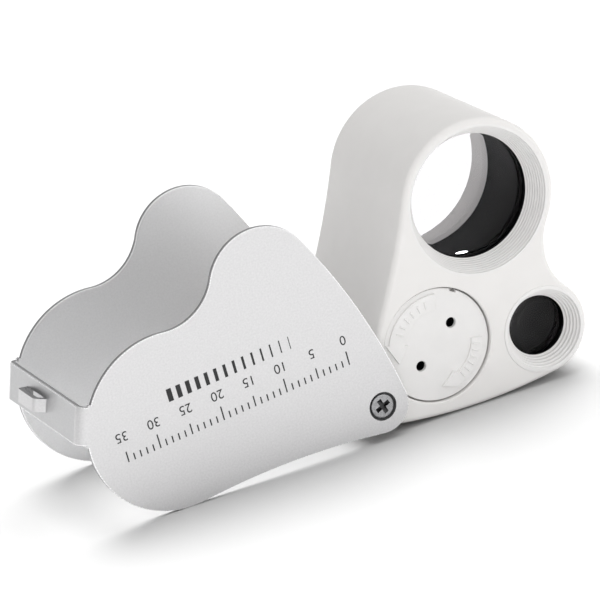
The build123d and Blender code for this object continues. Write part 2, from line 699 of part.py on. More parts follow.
def main():
    os.makedirs("parts", exist_ok=True)
    flip = Rot(180, 0, 0)
    cover_parts = {
        "cover_sheet": cover_sheet(),
        "front_bush": pivot_bush(),
        "back_bush": flip * pivot_bush(),
        "front_pivot_screw": pivot_screw(),
        "back_pivot_screw": flip * pivot_screw(),
        "front_washer": pivot_washer(),
        "back_washer": flip * pivot_washer(),
        "pivot_shaft": pivot_shaft(),
    }
    body_parts = {
        "body_shell": body_shell(),
        "back_lid": back_lid(),
        "lid_screws": lid_screws(),
        "big_front_ring": big_front_ring(),
        "big_tube": big_tube(),
        "big_lens_front": big_lens_front(),
        "big_lens_spacer": big_lens_spacer(),
        "big_lens_back": big_lens_back(),
        "big_retaining_ring": big_retaining_ring(),
        "small_front_ring": small_front_ring(),
        "small_tube": small_tube(),
        "small_lens_front": small_lens_front(),
        "small_lens_spacer": small_lens_spacer(),
        "small_lens_back": small_lens_back(),
        "small_retaining_ring": small_retaining_ring(),
        "battery_cover": battery_cover(),
        "cover_contact": cover_contact(),
        "negative_spring": negative_spring(),
        "positive_strip": positive_strip(),
        "big_lamp": lamp(BIG, BIG_BORE_R),
        "small_lamp": lamp(SMALL, SMALL_BORE_R),
        "lamp_board": lamp_board(),
        "series_resistor": series_resistor(),
        "switch_leaf": switch_leaf(),
        "switch_contact": switch_contact(),
        "positive_wire": positive_wire(),
        "negative_wire": negative_wire(),
    }
    for number in range(CELL_COUNT):
        body_parts[f"button_cell_{number + 1}"] = button_cell(number)

    upright = Rot(90, 0, 0)
    parts = {name: upright * Rot(0, 0, COVER_TURN) * shape for name, shape in cover_parts.items()}
    parts.update({name: upright * Rot(0, 0, BODY_TURN) * shape for name, shape in body_parts.items()})
    boxes = [shape.bounding_box() for shape in parts.values()]
    left = min(box.min.X for box in boxes)
    right = max(box.max.X for box in boxes)
    floor = min(box.min.Z for box in boxes)
    stand = Pos(-(left + right) / 2, 0, -floor)
    print(f"pivot axis at x {-(left + right) / 2:.3f}, z {-floor:.3f}")
    for name, shape in parts.items():
        shape = stand * shape
        shape.label = name
        export_step(shape, f"parts/{name}.step")


main()
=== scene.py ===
import json
import math

import bmesh
import bpy
import numpy as np
from mathutils import Matrix, Vector
from mathutils.geometry import delaunay_2d_cdt


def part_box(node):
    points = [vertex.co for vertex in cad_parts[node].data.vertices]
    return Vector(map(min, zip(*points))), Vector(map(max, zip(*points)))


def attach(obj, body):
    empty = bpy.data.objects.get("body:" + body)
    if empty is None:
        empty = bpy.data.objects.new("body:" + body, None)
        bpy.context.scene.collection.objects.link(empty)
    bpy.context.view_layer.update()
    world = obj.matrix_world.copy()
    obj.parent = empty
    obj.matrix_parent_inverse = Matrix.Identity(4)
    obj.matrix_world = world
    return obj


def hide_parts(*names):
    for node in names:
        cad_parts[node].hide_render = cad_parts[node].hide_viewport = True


# Looks of the folding two-lens loupe. Sizes are in millimetres and turned into metres in make().
# A point on a face is Vector((x, z)), and depth runs from the body's front face towards the back.
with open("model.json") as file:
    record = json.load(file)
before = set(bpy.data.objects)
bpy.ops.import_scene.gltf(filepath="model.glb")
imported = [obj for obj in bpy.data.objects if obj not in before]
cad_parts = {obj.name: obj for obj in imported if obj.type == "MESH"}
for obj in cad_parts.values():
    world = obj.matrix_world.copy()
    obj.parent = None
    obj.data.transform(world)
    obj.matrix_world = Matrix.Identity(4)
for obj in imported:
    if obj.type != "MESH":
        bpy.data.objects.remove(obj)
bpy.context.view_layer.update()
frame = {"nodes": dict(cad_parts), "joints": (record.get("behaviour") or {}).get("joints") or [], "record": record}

MM = 0.001
WELD = 0.002
SMOOTH_LIMIT = math.radians(38)


def face_centre(node):
    low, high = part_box(node)
    middle = (low + high) / (2 * MM)
    return Vector((middle.x, middle.z))


# Places read from the frame
PIVOT = face_centre("front_washer")
BIG = face_centre("big_front_ring")
SMALL = face_centre("small_front_ring")
CELLS = face_centre("battery_cover")
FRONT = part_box("body_shell")[0].y / MM
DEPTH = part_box("body_shell")[1].y / MM - FRONT
PLATE_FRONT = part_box("cover_sheet")[0].y / MM
PLATE_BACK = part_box("cover_sheet")[1].y / MM
CLOSING = next(joint["range_deg"][1] for joint in frame["joints"] if joint["name"] == "cover_swing")

# Outlines: radii of the lobes, the pivot corner and the large arcs between them
BODY_RADII = {"big": 11.9, "small": 6.9, "corner": 3.6, "flank": 116.0, "belly": 82.0, "saddle": 9.05}
COVER_RADII = {"big": 12.95, "small": 7.95, "corner": 4.05, "flank": 112.0, "belly": 92.0, "saddle": 8.0}
ARC_STEPS = {"flank": 48, "big": 132, "saddle": 44, "small": 72, "belly": 56, "corner": 36}

# Body
WALL = 1.2
FRONT_WALL = 1.8
FRONT_EDGE = 0.8
BACK_EDGE = 0.5
LID_THICK = 1.6
LID_GAP = 0.05
ROUND_STEPS = 6
SHAFT_HOLE = 1.63
BOSS = 2.65

# Sheet cover
SHEET = 0.8
SHEET_EDGE = 0.14
STRAP_FACE = 46.3
STRAP_HALF = 2.75
STRAP_CORNER = 0.12
BEND = 1.5
LOOP_HALF_WIDTH = 0.95
LOOP_HALF_LENGTH = 3.6
LOOP_RISE = 1.7
LOOP_OFFSET = -2.0
LOOP_RAMP = 0.6
LOOP_CREST = 0.8
BUSH = 2.1


# ---- geometry in the face plane ----

def polar(centre, reach, degrees):
    turn = math.radians(degrees)
    return centre + Vector((math.cos(turn), math.sin(turn))) * reach


def turned_about(point, centre, degrees):
    return centre + Matrix.Rotation(math.radians(degrees), 2) @ (point - centre)


def towards(start, target, distance):
    return start + (target - start).normalized() * distance


def meeting(centre_a, reach_a, centre_b, reach_b):
    """Point at reach_a from one centre and reach_b from the other, on the left of the way across."""
    across = centre_b - centre_a
    gap = across.length
    along = (reach_a ** 2 - reach_b ** 2 + gap ** 2) / (2 * gap)
    height = math.sqrt(reach_a ** 2 - along ** 2)
    unit = across / gap
    return centre_a + unit * along + Vector((-unit.y, unit.x)) * height


def arc(centre, start, end, clockwise, steps):
    """Points from start to just before end, round centre."""
    spoke, last = start - centre, end - centre
    radius = spoke.length
    first_turn = math.atan2(spoke.y, spoke.x)
    sweep = (math.atan2(last.y, last.x) - first_turn) % math.tau
    if clockwise:
        sweep -= math.tau
    turns = [first_turn + sweep * k / steps for k in range(steps)]
    return [centre + Vector((math.cos(t), math.sin(t))) * radius for t in turns]


def circle(centre, radius, steps):
    return [polar(centre, radius, 360 * k / steps) for k in range(steps)]


def lobed_points(spots, radii, inset):
    """Centres of the joining arcs and the points where the arcs touch, all inset from the edge."""
    pivot, big, small = spots
    r = {name: radius - inset for name, radius in radii.items()}
    r["flank"] += 2 * inset
    r["saddle"] += 2 * inset
    flank = meeting(pivot, r["corner"] + r["flank"], big, r["big"] + r["flank"])
    belly = meeting(pivot, r["belly"] - r["corner"], small, r["belly"] - r["small"])
    saddle = meeting(big, r["big"] + r["saddle"], small, r["small"] + r["saddle"])
    return {
        "flank": flank, "belly": belly, "saddle": saddle,
        "corner_flank": towards(pivot, flank, r["corner"]),
        "big_flank": towards(big, flank, r["big"]),
        "big_saddle": towards(big, saddle, r["big"]),
        "small_saddle": towards(small, saddle, r["small"]),
        "small_belly": towards(small, belly, -r["small"]),
        "corner_belly": towards(pivot, belly, -r["corner"]),
    }


def lobed_outline(spots, radii, inset=0.0):
    """Closed outline of two lobes and the pivot corner."""
    pivot, big, small = spots
    p = lobed_points(spots, radii, inset)
    return (arc(p["flank"], p["corner_flank"], p["big_flank"], False, ARC_STEPS["flank"])
            + arc(big, p["big_flank"], p["big_saddle"], True, ARC_STEPS["big"])
            + arc(p["saddle"], p["big_saddle"], p["small_saddle"], False, ARC_STEPS["saddle"])
            + arc(small, p["small_saddle"], p["small_belly"], True, ARC_STEPS["small"])
            + arc(p["belly"], p["small_belly"], p["corner_belly"], True, ARC_STEPS["belly"])
            + arc(pivot, p["corner_belly"], p["corner_flank"], True, ARC_STEPS["corner"]))


def add_object(name, data):
    piece = bpy.data.objects.new(name, data)
    bpy.context.scene.collection.objects.link(piece)
    return piece


# ---- mesh building ----

class Shape:
    """A bmesh in millimetres; strong faces keep their own normal at a smooth edge."""

    def __init__(self):
        self.bm = bmesh.new()
        self.paint = 0             # which of the piece's materials the next faces get
        self.strong = self.bm.faces.layers.int.new("strong")

    def loop(self, points):
        return [self.bm.verts.new(p) for p in points]

    def level(self, outline, depth):
        return self.loop([at(p, depth) for p in outline])

    def face(self, verts, strong=False):
        new = self.bm.faces.new(verts)
        new[self.strong] = int(strong)
        new.material_index = self.paint

    def band(self, loop_a, loop_b, closed=True, strong=False):
        """Quads between two loops of the same length; a loop of one vertex is a pole."""
        count = max(len(loop_a), len(loop_b))
        if count == 1:
            return
        for k in range(count if closed else count - 1):
            m = (k + 1) % count
            if len(loop_a) == 1:
                self.face((loop_a[0], loop_b[m], loop_b[k]), strong)
            elif len(loop_b) == 1:
                self.face((loop_a[k], loop_a[m], loop_b[0]), strong)
            else:
                self.face((loop_a[k], loop_a[m], loop_b[m], loop_b[k]), strong)

    def skin(self, loops, closed=True, strong=()):
        """Bands through a row of loops; strong lists the bands that are flat or straight."""
        for number in range(len(loops) - 1):
            self.band(loops[number], loops[number + 1], closed, number in strong)

    def fill(self, loops, place):
        """Flat triangles between an outer outline and its holes; place() puts a face point in space."""
        points, edges = [], []
        for one in loops:
            base = len(points)
            points += one
            edges += [(base + k, base + (k + 1) % len(one)) for k in range(len(one))]
        found, _, triangles, _, _, _ = delaunay_2d_cdt(points, edges, [], 0, 1e-6)
        middles = np.array([sum((found[i] for i in t), Vector((0, 0))) / 3 for t in triangles])
        starts = np.array([points[a] for a, b in edges])
        ends = np.array([points[b] for a, b in edges])
        crosses = (starts[None, :, 1] > middles[:, None, 1]) != (ends[None, :, 1] > middles[:, None, 1])
        rise = np.where(ends[:, 1] == starts[:, 1], 1.0, ends[:, 1] - starts[:, 1])
        share = (middles[:, None, 1] - starts[None, :, 1]) / rise[None, :]
        reach = starts[None, :, 0] + share * (ends[:, 0] - starts[:, 0])[None, :]
        inside = (crosses & (middles[:, None, 0] < reach)).sum(1) % 2 == 1
        verts = self.loop([place(p) for p in found])
        for triangle, keep in zip(triangles, inside):
            if keep:
                self.face([verts[i] for i in triangle], True)

    def lathe(self, centre, profile, steps=144, strong=(), closed=True):
        """Turns a closed (radius, depth) profile round an axis along the depth."""
        loops = []
        for radius, depth in profile:
            ring = [centre] if radius == 0 else circle(centre, radius, steps)
            loops.append(self.level(ring, depth))
        if closed:
            loops.append(loops[0])
        self.skin(loops, True, strong)

    def wall(self, outline, depths):
        """Straight wall between two depths."""
        self.skin([self.level(outline, depth) for depth in depths], strong=(0,))

    def make(self, name, *materials):
        bm = self.bm
        bmesh.ops.remove_doubles(bm, verts=bm.verts, dist=WELD)
        loose = [v for v in bm.verts if not v.link_faces]
        bmesh.ops.delete(bm, geom=loose, context="VERTS")
        bmesh.ops.recalc_face_normals(bm, faces=bm.faces)
        strong = [f[self.strong] for f in bm.faces]
        bm.faces.layers.int.remove(self.strong)
        mesh = bpy.data.meshes.new(name)
        bm.to_mesh(mesh)
        bm.free()
        set_normals(mesh, strong)
        mesh.transform(Matrix.Scale(MM, 4))
        for material in materials:
            mesh.materials.append(material)
        return add_object(name, mesh)


def set_normals(mesh, strong):
    """Smooth normals inside SMOOTH_LIMIT, where flat faces win over the rounds beside them."""
    normals = [p.normal.copy() for p in mesh.polygons]
    areas = [p.area for p in mesh.polygons]
    around = [[] for _ in mesh.vertices]
    for polygon in mesh.polygons:
        for v in polygon.vertices:
            around[v].append(polygon.index)
    limit = math.cos(SMOOTH_LIMIT)
    corners = []
    for polygon in mesh.polygons:
        own = normals[polygon.index]
        for v in polygon.vertices:
            near = [f for f in around[v] if normals[f].dot(own) > limit]
            flat = [f for f in near if strong[f]]
            total = sum((normals[f] * areas[f] for f in flat or near), Vector((0, 0, 0)))
            corners.append(total.normalized() if total.length > 0 else own)
    mesh.shade_smooth()
    mesh.normals_split_custom_set(corners)


def at(point, depth):
    """Face point to space, on the body's depth scale."""
    return Vector((point.x, FRONT + depth, point.y))


def rounded(radius, inset_start, depth_start, inward, steps=ROUND_STEPS):
    """(inset, depth) pairs over an outside corner; inward runs from the side wall to the face."""
    pairs = []
    for k in range(steps + 1):
        turn = math.pi / 2 * k / steps
        pairs.append((inset_start + radius * (1 - math.sin(turn)), depth_start + radius * (1 - math.cos(turn))))
    return pairs[::-1] if inward else pairs


def settle(piece, body, slot, *nodes):
    """Gives a finished piece its body and hides the CAD nodes that it stands for; the slot is not used."""
    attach(piece, body)
    if nodes:
        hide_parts(*nodes)
    return piece


# ---- materials ----

def new_material(name):
    material = bpy.data.materials.new(name)
    material.use_nodes = True
    return material, material.node_tree, material.node_tree.nodes["Principled BSDF"]


def add_node(tree, kind, **values):
    node = tree.nodes.new(kind)
    for key, value in values.items():
        if key in node.inputs:
            node.inputs[key].default_value = value
        else:
            setattr(node, key, value)
    return node


def set_inputs(node, values):
    for key, value in values.items():
        node.inputs[key].default_value = value


def noise(tree, scale, detail=3.0):
    """Noise in the object's own metres."""
    place = tree.nodes.new("ShaderNodeTexCoord")
    texture = add_node(tree, "ShaderNodeTexNoise", Scale=scale, Detail=detail)
    tree.links.new(place.outputs["Object"], texture.inputs["Vector"])
    return texture.outputs["Fac"]


def spread(tree, source, low, high, start=0.3, end=0.7):
    """Maps a 0 to 1 pattern onto low to high."""
    node = add_node(tree, "ShaderNodeMapRange")
    set_inputs(node, {"From Min": start, "From Max": end, "To Min": low, "To Max": high})
    tree.links.new(source, node.inputs["Value"])
    return node.outputs["Result"]


def tint(tree, source, dark, light):
    ramp = tree.nodes.new("ShaderNodeValToRGB")
    ramp.color_ramp.elements[0].position = 0.3
    ramp.color_ramp.elements[1].position = 0.7
    ramp.color_ramp.elements[0].color = (*dark, 1)
    ramp.color_ramp.elements[1].color = (*light, 1)
    tree.links.new(source, ramp.inputs["Fac"])
    return ramp.outputs["Color"]


def bump(tree, shader, source, strength, distance):
    node = add_node(tree, "ShaderNodeBump", Strength=strength, Distance=distance)
    tree.links.new(source, node.inputs["Height"])
    tree.links.new(node.outputs["Normal"], shader.inputs["Normal"])


def patterned(name, dark, light, rough, metallic=0.0, scale=1800.0, bump_scale=5000.0, relief=0.000004,
              strength=0.3, gloss=0.5):
    """Finish with a faint colour change, uneven gloss and fine relief."""
    material, tree, shader = new_material(name)
    set_inputs(shader, {"Metallic": metallic, "Specular IOR Level": gloss})
    broad = noise(tree, scale, 4.0)
    fine = noise(tree, bump_scale, 3.0)
    tree.links.new(tint(tree, broad, dark, light), shader.inputs["Base Color"])
    tree.links.new(spread(tree, fine, rough[0], rough[1]), shader.inputs["Roughness"])
    bump(tree, shader, fine, strength, relief)
    return material


GLASS_INDEX = 1.49
GLASS_REFLECTION = 0.08      # share of a bare glass's reflection that is left


def glass(name, colour):
    """Glass with most of its reflection taken away."""
    material, _, shader = new_material(name)
    set_inputs(shader, {"Transmission Weight": 1.0, "IOR": GLASS_INDEX, "Roughness": 0.0, "Base Color": (*colour, 1),
                        "Specular Tint": (*[GLASS_REFLECTION] * 3, 1)})
    return material


GLOW_STRENGTH = (7.0, 8.0)


def lamp_glow():
    """Clear resin of a lit lamp, which shines all over."""
    material, tree, shader = new_material("lamp_resin")
    set_inputs(shader, {"Base Color": (0.95, 0.96, 1.0, 1), "Roughness": 0.15, "Emission Color": (0.97, 0.98, 1.0, 1)})
    glow = spread(tree, noise(tree, 900.0), *GLOW_STRENGTH)
    tree.links.new(glow, shader.inputs["Emission Strength"])
    return material


SHEET_GRAIN = {"metallic": 1.0, "scale": 3600.0, "bump_scale": 5200.0, "relief": 0.000006, "strength": 0.35}
STEEL_GRAIN = {"metallic": 1.0, "scale": 2600.0, "bump_scale": 6000.0}
ALUMINIUM = patterned("satin_aluminium", (0.68, 0.675, 0.68), (0.75, 0.745, 0.75), (0.36, 0.46), 1.0,
                      scale=3600.0, bump_scale=4600.0, relief=0.000008, strength=0.5)
# Outer face of the straight strap: the same aluminium, darker, as painted shade over the floor's reflection.
STRAP_PAINTED_SHADE = patterned("strap_aluminium_painted_shade", (0.56, 0.56, 0.565), (0.61, 0.61, 0.615), (0.36, 0.46), **SHEET_GRAIN)
# Bevels of the sheet: the same aluminium, brighter and smoother, as a painted highlight along the edges.
BEVEL_PAINTED_HIGHLIGHT = patterned("bevel_painted_highlight", (0.90, 0.90, 0.905), (0.95, 0.95, 0.955), (0.2, 0.3), 1.0,
                      scale=3000.0, bump_scale=6000.0)
# Inner faces of both plates: the same aluminium, lighter, as painted light where the plates shade each other.
INNER_FACE_PAINTED_LIGHT = patterned("inner_aluminium_painted_light", (0.84, 0.84, 0.845), (0.90, 0.90, 0.905), (0.36, 0.46), **SHEET_GRAIN)
# Side walls of the sheet and the loop's slits: darker and rougher, partly the sheared edge's own colour and partly
# painted shade.
CUT_EDGE_AND_SHADE = patterned("sheet_cut_edge_and_painted_shade", (0.30, 0.30, 0.305), (0.40, 0.40, 0.405), (0.42, 0.55), 1.0,
                     scale=3000.0, bump_scale=6000.0, relief=0.000006, strength=0.35)
BODY_WHITE = patterned("body_white", (0.83, 0.815, 0.80), (0.85, 0.835, 0.82), (0.36, 0.46),
                       scale=260.0, bump_scale=1500.0, relief=0.000004, strength=0.2)
RING_WHITE = patterned("ring_white", (0.83, 0.82, 0.81), (0.855, 0.845, 0.835), (0.30, 0.40),
                       scale=400.0, bump_scale=2500.0, relief=0.000003, strength=0.2)
BLACK = patterned("tube_black", (0.006, 0.006, 0.007), (0.011, 0.011, 0.012), (0.38, 0.50),
                  scale=900.0, bump_scale=2600.0, relief=0.000003, strength=0.25, gloss=0.008)
STEEL = patterned("screw_steel", (0.34, 0.34, 0.35), (0.46, 0.46, 0.47), (0.24, 0.36), **STEEL_GRAIN)
# Steel made nearly black as painted shade, for the screws' cross recesses and the bushes in the gaps round the heads.
STEEL_PAINTED_SHADE = patterned("steel_painted_shade", (0.05, 0.05, 0.052), (0.09, 0.09, 0.092), (0.35, 0.5), **STEEL_GRAIN)
INK = patterned("scale_ink", (0.012, 0.012, 0.013), (0.02, 0.02, 0.022), (0.45, 0.6),
                scale=2000.0, bump_scale=6000.0, relief=0.000002, strength=0.2)
BRASS = patterned("brass", (0.62, 0.44, 0.16), (0.72, 0.53, 0.22), (0.25, 0.38), 1.0)
NYLON = patterned("nylon", (0.72, 0.71, 0.68), (0.78, 0.77, 0.74), (0.45, 0.55))
SPRING = patterned("spring_metal", (0.60, 0.58, 0.52), (0.68, 0.66, 0.60), (0.22, 0.32), 1.0)
CELL = patterned("cell_steel", (0.55, 0.55, 0.55), (0.64, 0.64, 0.64), (0.18, 0.28), 1.0)
BOARD = patterned("circuit_board", (0.012, 0.11, 0.045), (0.018, 0.15, 0.06), (0.35, 0.45))
WIRE = patterned("wire_sleeve", (0.45, 0.02, 0.02), (0.55, 0.03, 0.03), (0.35, 0.45))
GLASS = glass("lens_glass", (0.945, 0.94, 0.95))
GLOW = lamp_glow()

CAD_FINISH = {
    "cover_aluminium": ALUMINIUM, "steel": STEEL, "nylon": NYLON, "brass": BRASS, "body_white": BODY_WHITE,
    "ring_white": RING_WHITE, "tube_black": BLACK, "lens_glass": GLASS, "spring_metal": SPRING,
    "lamp": GLOW, "board": BOARD, "wire": WIRE, "cell_steel": CELL,
}


def finish_cad_nodes():
    """Every CAD node gets the finish of its own slot, and the bushes get a steel darkened as painted shade."""
    slots = {part["node"]: part["material_slot"] for part in frame["record"]["subparts"]}
    for node, piece in frame["nodes"].items():
        piece.data.materials.clear()
        piece.data.materials.append(STEEL_PAINTED_SHADE if node.endswith("bush") else CAD_FINISH[slots[node]])


# ---- cover ----

COVER_BIG = turned_about(BIG, PIVOT, CLOSING)
COVER_SMALL = turned_about(SMALL, PIVOT, CLOSING)
ALONG = (COVER_BIG - PIVOT).normalized()
ACROSS = Vector((-ALONG.y, ALONG.x))
PLATE_MIDDLE = (PLATE_BACK - PLATE_FRONT) / 2
BEND_MIDDLE = BEND - SHEET / 2
STRAIGHT = PLATE_MIDDLE - BEND
BEND_END = STRAIGHT + BEND_MIDDLE * math.pi / 2
BEND_REACH = STRAP_FACE - BEND
LOOP_SPAN = (LOOP_OFFSET - LOOP_HALF_LENGTH, LOOP_OFFSET + LOOP_HALF_LENGTH)
LOOP_LEAD = 0.4              # flat run of the strip's lines beyond each end


def fold(s, v, lift):
    """Point of the flat blank bent into shape; s runs round the strap from its middle to the front."""
    side = 1 if s >= 0 else -1
    s = abs(s)
    if s <= STRAIGHT:
        reach, depth = STRAP_FACE - SHEET / 2 + lift, s
    elif s <= BEND_END:
        turn = (s - STRAIGHT) / BEND_MIDDLE
        reach = BEND_REACH + (BEND_MIDDLE + lift) * math.cos(turn)
        depth = STRAIGHT + (BEND_MIDDLE + lift) * math.sin(turn)
    else:
        reach, depth = BEND_REACH - (s - BEND_END), PLATE_MIDDLE - SHEET / 2 + lift
    place = PIVOT + ALONG * reach + ACROSS * v
    middle = (PLATE_FRONT + PLATE_BACK) / 2
    return Vector((place.x, middle - side * depth, place.y))


def blank_of(point, side):
    """Face point of a plate as (s, v) on the flat blank."""
    offset = point - PIVOT
    return side * (BEND_END + BEND_REACH - offset.dot(ALONG)), offset.dot(ACROSS)


def plate_chain(inset):
    """Outline of one plate from one side of the strap round to the other."""
    spots = (PIVOT, COVER_BIG, COVER_SMALL)
    p = lobed_points(spots, COVER_RADII, inset)
    half, radius = STRAP_HALF - inset, COVER_RADII["big"] - inset
    corner = STRAP_CORNER + inset
    reach = (COVER_BIG - PIVOT).length
    run = reach + math.sqrt((radius + corner) ** 2 - (half + corner) ** 2)
    ends = {}
    for side in (1, -1):
        middle = PIVOT + ALONG * run + ACROSS * side * (half + corner)
        ends[side] = (middle - ACROSS * side * corner, middle, towards(COVER_BIG, middle, radius))
    start = PIVOT + ALONG * BEND_REACH
    chain = [start + ACROSS * half]
    chain += arc(ends[1][1], ends[1][0], ends[1][2], False, 5)
    # The outline runs clockwise, so the side with positive v is met last
    chain += arc(COVER_BIG, ends[1][2], p["big_flank"], False, 64)
    chain += arc(p["flank"], p["big_flank"], p["corner_flank"], True, ARC_STEPS["flank"])
    chain += arc(PIVOT, p["corner_flank"], p["corner_belly"], False, ARC_STEPS["corner"])
    chain += arc(p["belly"], p["corner_belly"], p["small_belly"], False, ARC_STEPS["belly"])
    chain += arc(COVER_SMALL, p["small_belly"], p["small_saddle"], False, ARC_STEPS["small"])
    chain += arc(p["saddle"], p["small_saddle"], p["big_saddle"], True, ARC_STEPS["saddle"])
    chain += arc(COVER_BIG, p["big_saddle"], ends[-1][2], False, 64)
    chain += arc(ends[-1][1], ends[-1][2], ends[-1][0], False, 5)
    chain += [ends[-1][0], start - ACROSS * half]
    return chain


def strap_stations():
    """Places along the strap where the blank has vertices, from the back plate to the front."""
    bends = [STRAIGHT + (BEND_END - STRAIGHT) * k / 10 for k in range(11)]
    return [-b for b in reversed(bends)] + [*LOOP_SPAN] + bends


def softened(points, radii, steps=6):
    """Open line with its inner corners rounded."""
    line = [points[0]]
    for before, corner, after, radius in zip(points, points[1:], points[2:], radii):
        one, two = (before - corner).normalized(), (after - corner).normalized()
        half = one.angle(two) / 2
        centre = corner + (one + two).normalized() * radius / math.sin(half)
        start = corner + one * radius / math.tan(half) - centre
        end = corner + two * radius / math.tan(half) - centre
        opening = start.angle(end)
        for k in range(steps + 1):
            share = k / steps
            mix = start * math.sin((1 - share) * opening) + end * math.sin(share * opening)
            line.append(centre + mix / math.sin(opening))
    return line + [points[-1]]


def loop_lines():
    """Outer and inner line of the lanced strip, as (s, lift) from one end to the other."""
    low, high = LOOP_SPAN
    half = SHEET / 2
    slope = LOOP_RAMP / LOOP_RISE
    wall = SHEET * math.sqrt(1 + slope ** 2)
    foot, crest = wall - slope * SHEET, wall + slope * (LOOP_RISE - SHEET)
    top = half + LOOP_RISE
    before, after = low - LOOP_LEAD, high + LOOP_LEAD
    outer = [(before, half), (low, half), (low + LOOP_RAMP, top), (high - LOOP_RAMP, top), (high, half), (after, half)]
    inner = [(before, -half), (low + foot, -half), (low + crest, top - SHEET), (high - crest, top - SHEET),
             (high - foot, -half), (after, -half)]
    return (softened([Vector(p) for p in outer], (0.25, LOOP_CREST, LOOP_CREST, 0.25)),
            softened([Vector(p) for p in inner], (0.5, 0.15, 0.15, 0.5)))


def cover():
    """One bent blank: two plates, the strap between them and its lanced lanyard loop."""
    shape = Shape()
    half = SHEET / 2
    profile = [(SHEET_EDGE, half), (0.3 * SHEET_EDGE, half - 0.3 * SHEET_EDGE), (0.0, half - SHEET_EDGE),
               (0.0, SHEET_EDGE - half), (0.3 * SHEET_EDGE, 0.3 * SHEET_EDGE - half), (SHEET_EDGE, -half)]
    stations = strap_stations()
    inner = stations[1:-1]
    loops = []
    for inset, lift in profile:
        chain = plate_chain(inset)
        edge = STRAP_HALF - inset
        points = [blank_of(p, 1) for p in chain]
        points += [(s, -edge) for s in reversed(inner)]
        points += [blank_of(p, -1) for p in reversed(chain)]
        points += [(s, edge) for s in inner]
        loops.append(shape.loop([fold(s, v, lift) for s, v in points]))
    # The sheet's side wall gets the darker cut-edge colour, partly painted shade; the bevels get the painted
    # highlight.
    for number in range(len(loops) - 1):
        shape.paint = 1 if number == 2 else 4
        shape.band(loops[number], loops[number + 1], strong=number == 2)
    for lift in (half, -half):
        # The outer faces get the plain aluminium; the inner faces get a lighter copy as painted light.
        shape.paint = 0 if lift > 0 else 2
        for side in (1, -1):
            chain = plate_chain(SHEET_EDGE)
            start = PIVOT + ALONG * BEND_REACH
            chain += [start - ACROSS * LOOP_HALF_WIDTH, start + ACROSS * LOOP_HALF_WIDTH]
            hole = circle(PIVOT, BUSH, 72)
            shape.fill([chain, hole], lambda p: fold(*blank_of(p, side), lift))
    shape.paint = 0
    for side in (1, -1):
        rims = [[fold(*blank_of(p, side), lift) for p in circle(PIVOT, BUSH, 72)] for lift in (half, -half)]
        shape.skin([shape.loop(rim) for rim in rims], strong=(0,))
    add_strap_faces(shape, stations, half)
    piece = shape.make("folded_cover", ALUMINIUM, CUT_EDGE_AND_SHADE, INNER_FACE_PAINTED_LIGHT, STRAP_PAINTED_SHADE, BEVEL_PAINTED_HIGHLIGHT)
    return settle(piece, "cover_case", "cover_aluminium", "cover_sheet")


def add_strap_faces(shape, stations, half):
    """Both faces of the strap, with the strip between the two slits pushed out."""
    edge = STRAP_HALF - SHEET_EDGE
    low, high = LOOP_SPAN
    for lift in (half, -half):
        for first, second in zip(stations, stations[1:]):
            straight = abs(first + second) < 2 * STRAIGHT
            # Inner strap faces get the lighter copy as painted light; the straight outer face gets a darker copy as
            # painted shade.
            shape.paint = 2 if lift < 0 else 3 if straight else 0
            columns = [(-edge, -LOOP_HALF_WIDTH), (LOOP_HALF_WIDTH, edge)]
            if (first, second) != LOOP_SPAN:
                columns.append((-LOOP_HALF_WIDTH, LOOP_HALF_WIDTH))
            for left, right in columns:
                corners = [(first, left), (second, left), (second, right), (first, right)]
                shape.face(shape.loop([fold(s, v, lift) for s, v in corners]), straight)
    # The slit walls, the strip's cut sides and its underside are darkened as painted shade.
    shape.paint = 1
    outer, inner = loop_lines()
    for v in (-LOOP_HALF_WIDTH, LOOP_HALF_WIDTH):
        slit = [shape.loop([fold(s, v, lift) for s in (low, high)]) for lift in (half, -half)]
        shape.skin(slit, closed=False, strong=(0,))
        shape.fill([outer + inner[::-1]], lambda p: fold(p.x, v, p.y))
    for paint, line in ((0, outer), (1, inner)):
        shape.paint = paint
        sides = [shape.loop([fold(p.x, v, p.y) for p in line]) for v in (-LOOP_HALF_WIDTH, LOOP_HALF_WIDTH)]
        shape.skin(sides, closed=False)


# Printed scale on the front plate: ticks, their numbers, and a row of line gauges
PRINT_TURN = 19.7
PRINT_START = 3.1
TICK_ROW = -7.9
TICKS = 36
DIGIT_ROW = -12.4
DIGIT_SIZE = 2.0
GAUGE_ROW = -14.7
GAUGE_START = 10.8
GAUGE_COUNT = 14
GAUGE_PITCH = 1.45
GAUGE_LENGTH = 1.9
GAUGE_DROP = 0.9             # how far a gauge starts below its row
GAUGE_WIDTH = 0.12
GAUGE_WIDENING = 0.05        # from each gauge to the next
TICK_WIDTH = 0.2
TICK_LENGTHS = {10: 2.1, 5: 1.6, 1: 1.0}
INK_PROUD = 0.012


def on_plate(x, y):
    """Point of the print's own frame on the front plate; the print reads upside down when the loupe is open."""
    right = Matrix.Rotation(math.radians(PRINT_TURN), 2) @ ALONG
    up = Vector((-right.y, right.x))
    place = PIVOT + right * x + up * y
    return Vector((place.x, PLATE_FRONT - INK_PROUD, place.y))


def ink_bar(shape, x, y, width, height):
    corners = [(x - width / 2, y), (x + width / 2, y), (x + width / 2, y + height), (x - width / 2, y + height)]
    outside = shape.loop([on_plate(a, b) for a, b in corners])
    inside = shape.loop([on_plate(a, b) + Vector((0, INK_PROUD / 2, 0)) for a, b in corners])
    shape.face(outside, True)
    shape.face(inside[::-1], True)
    shape.band(outside, inside, strong=True)


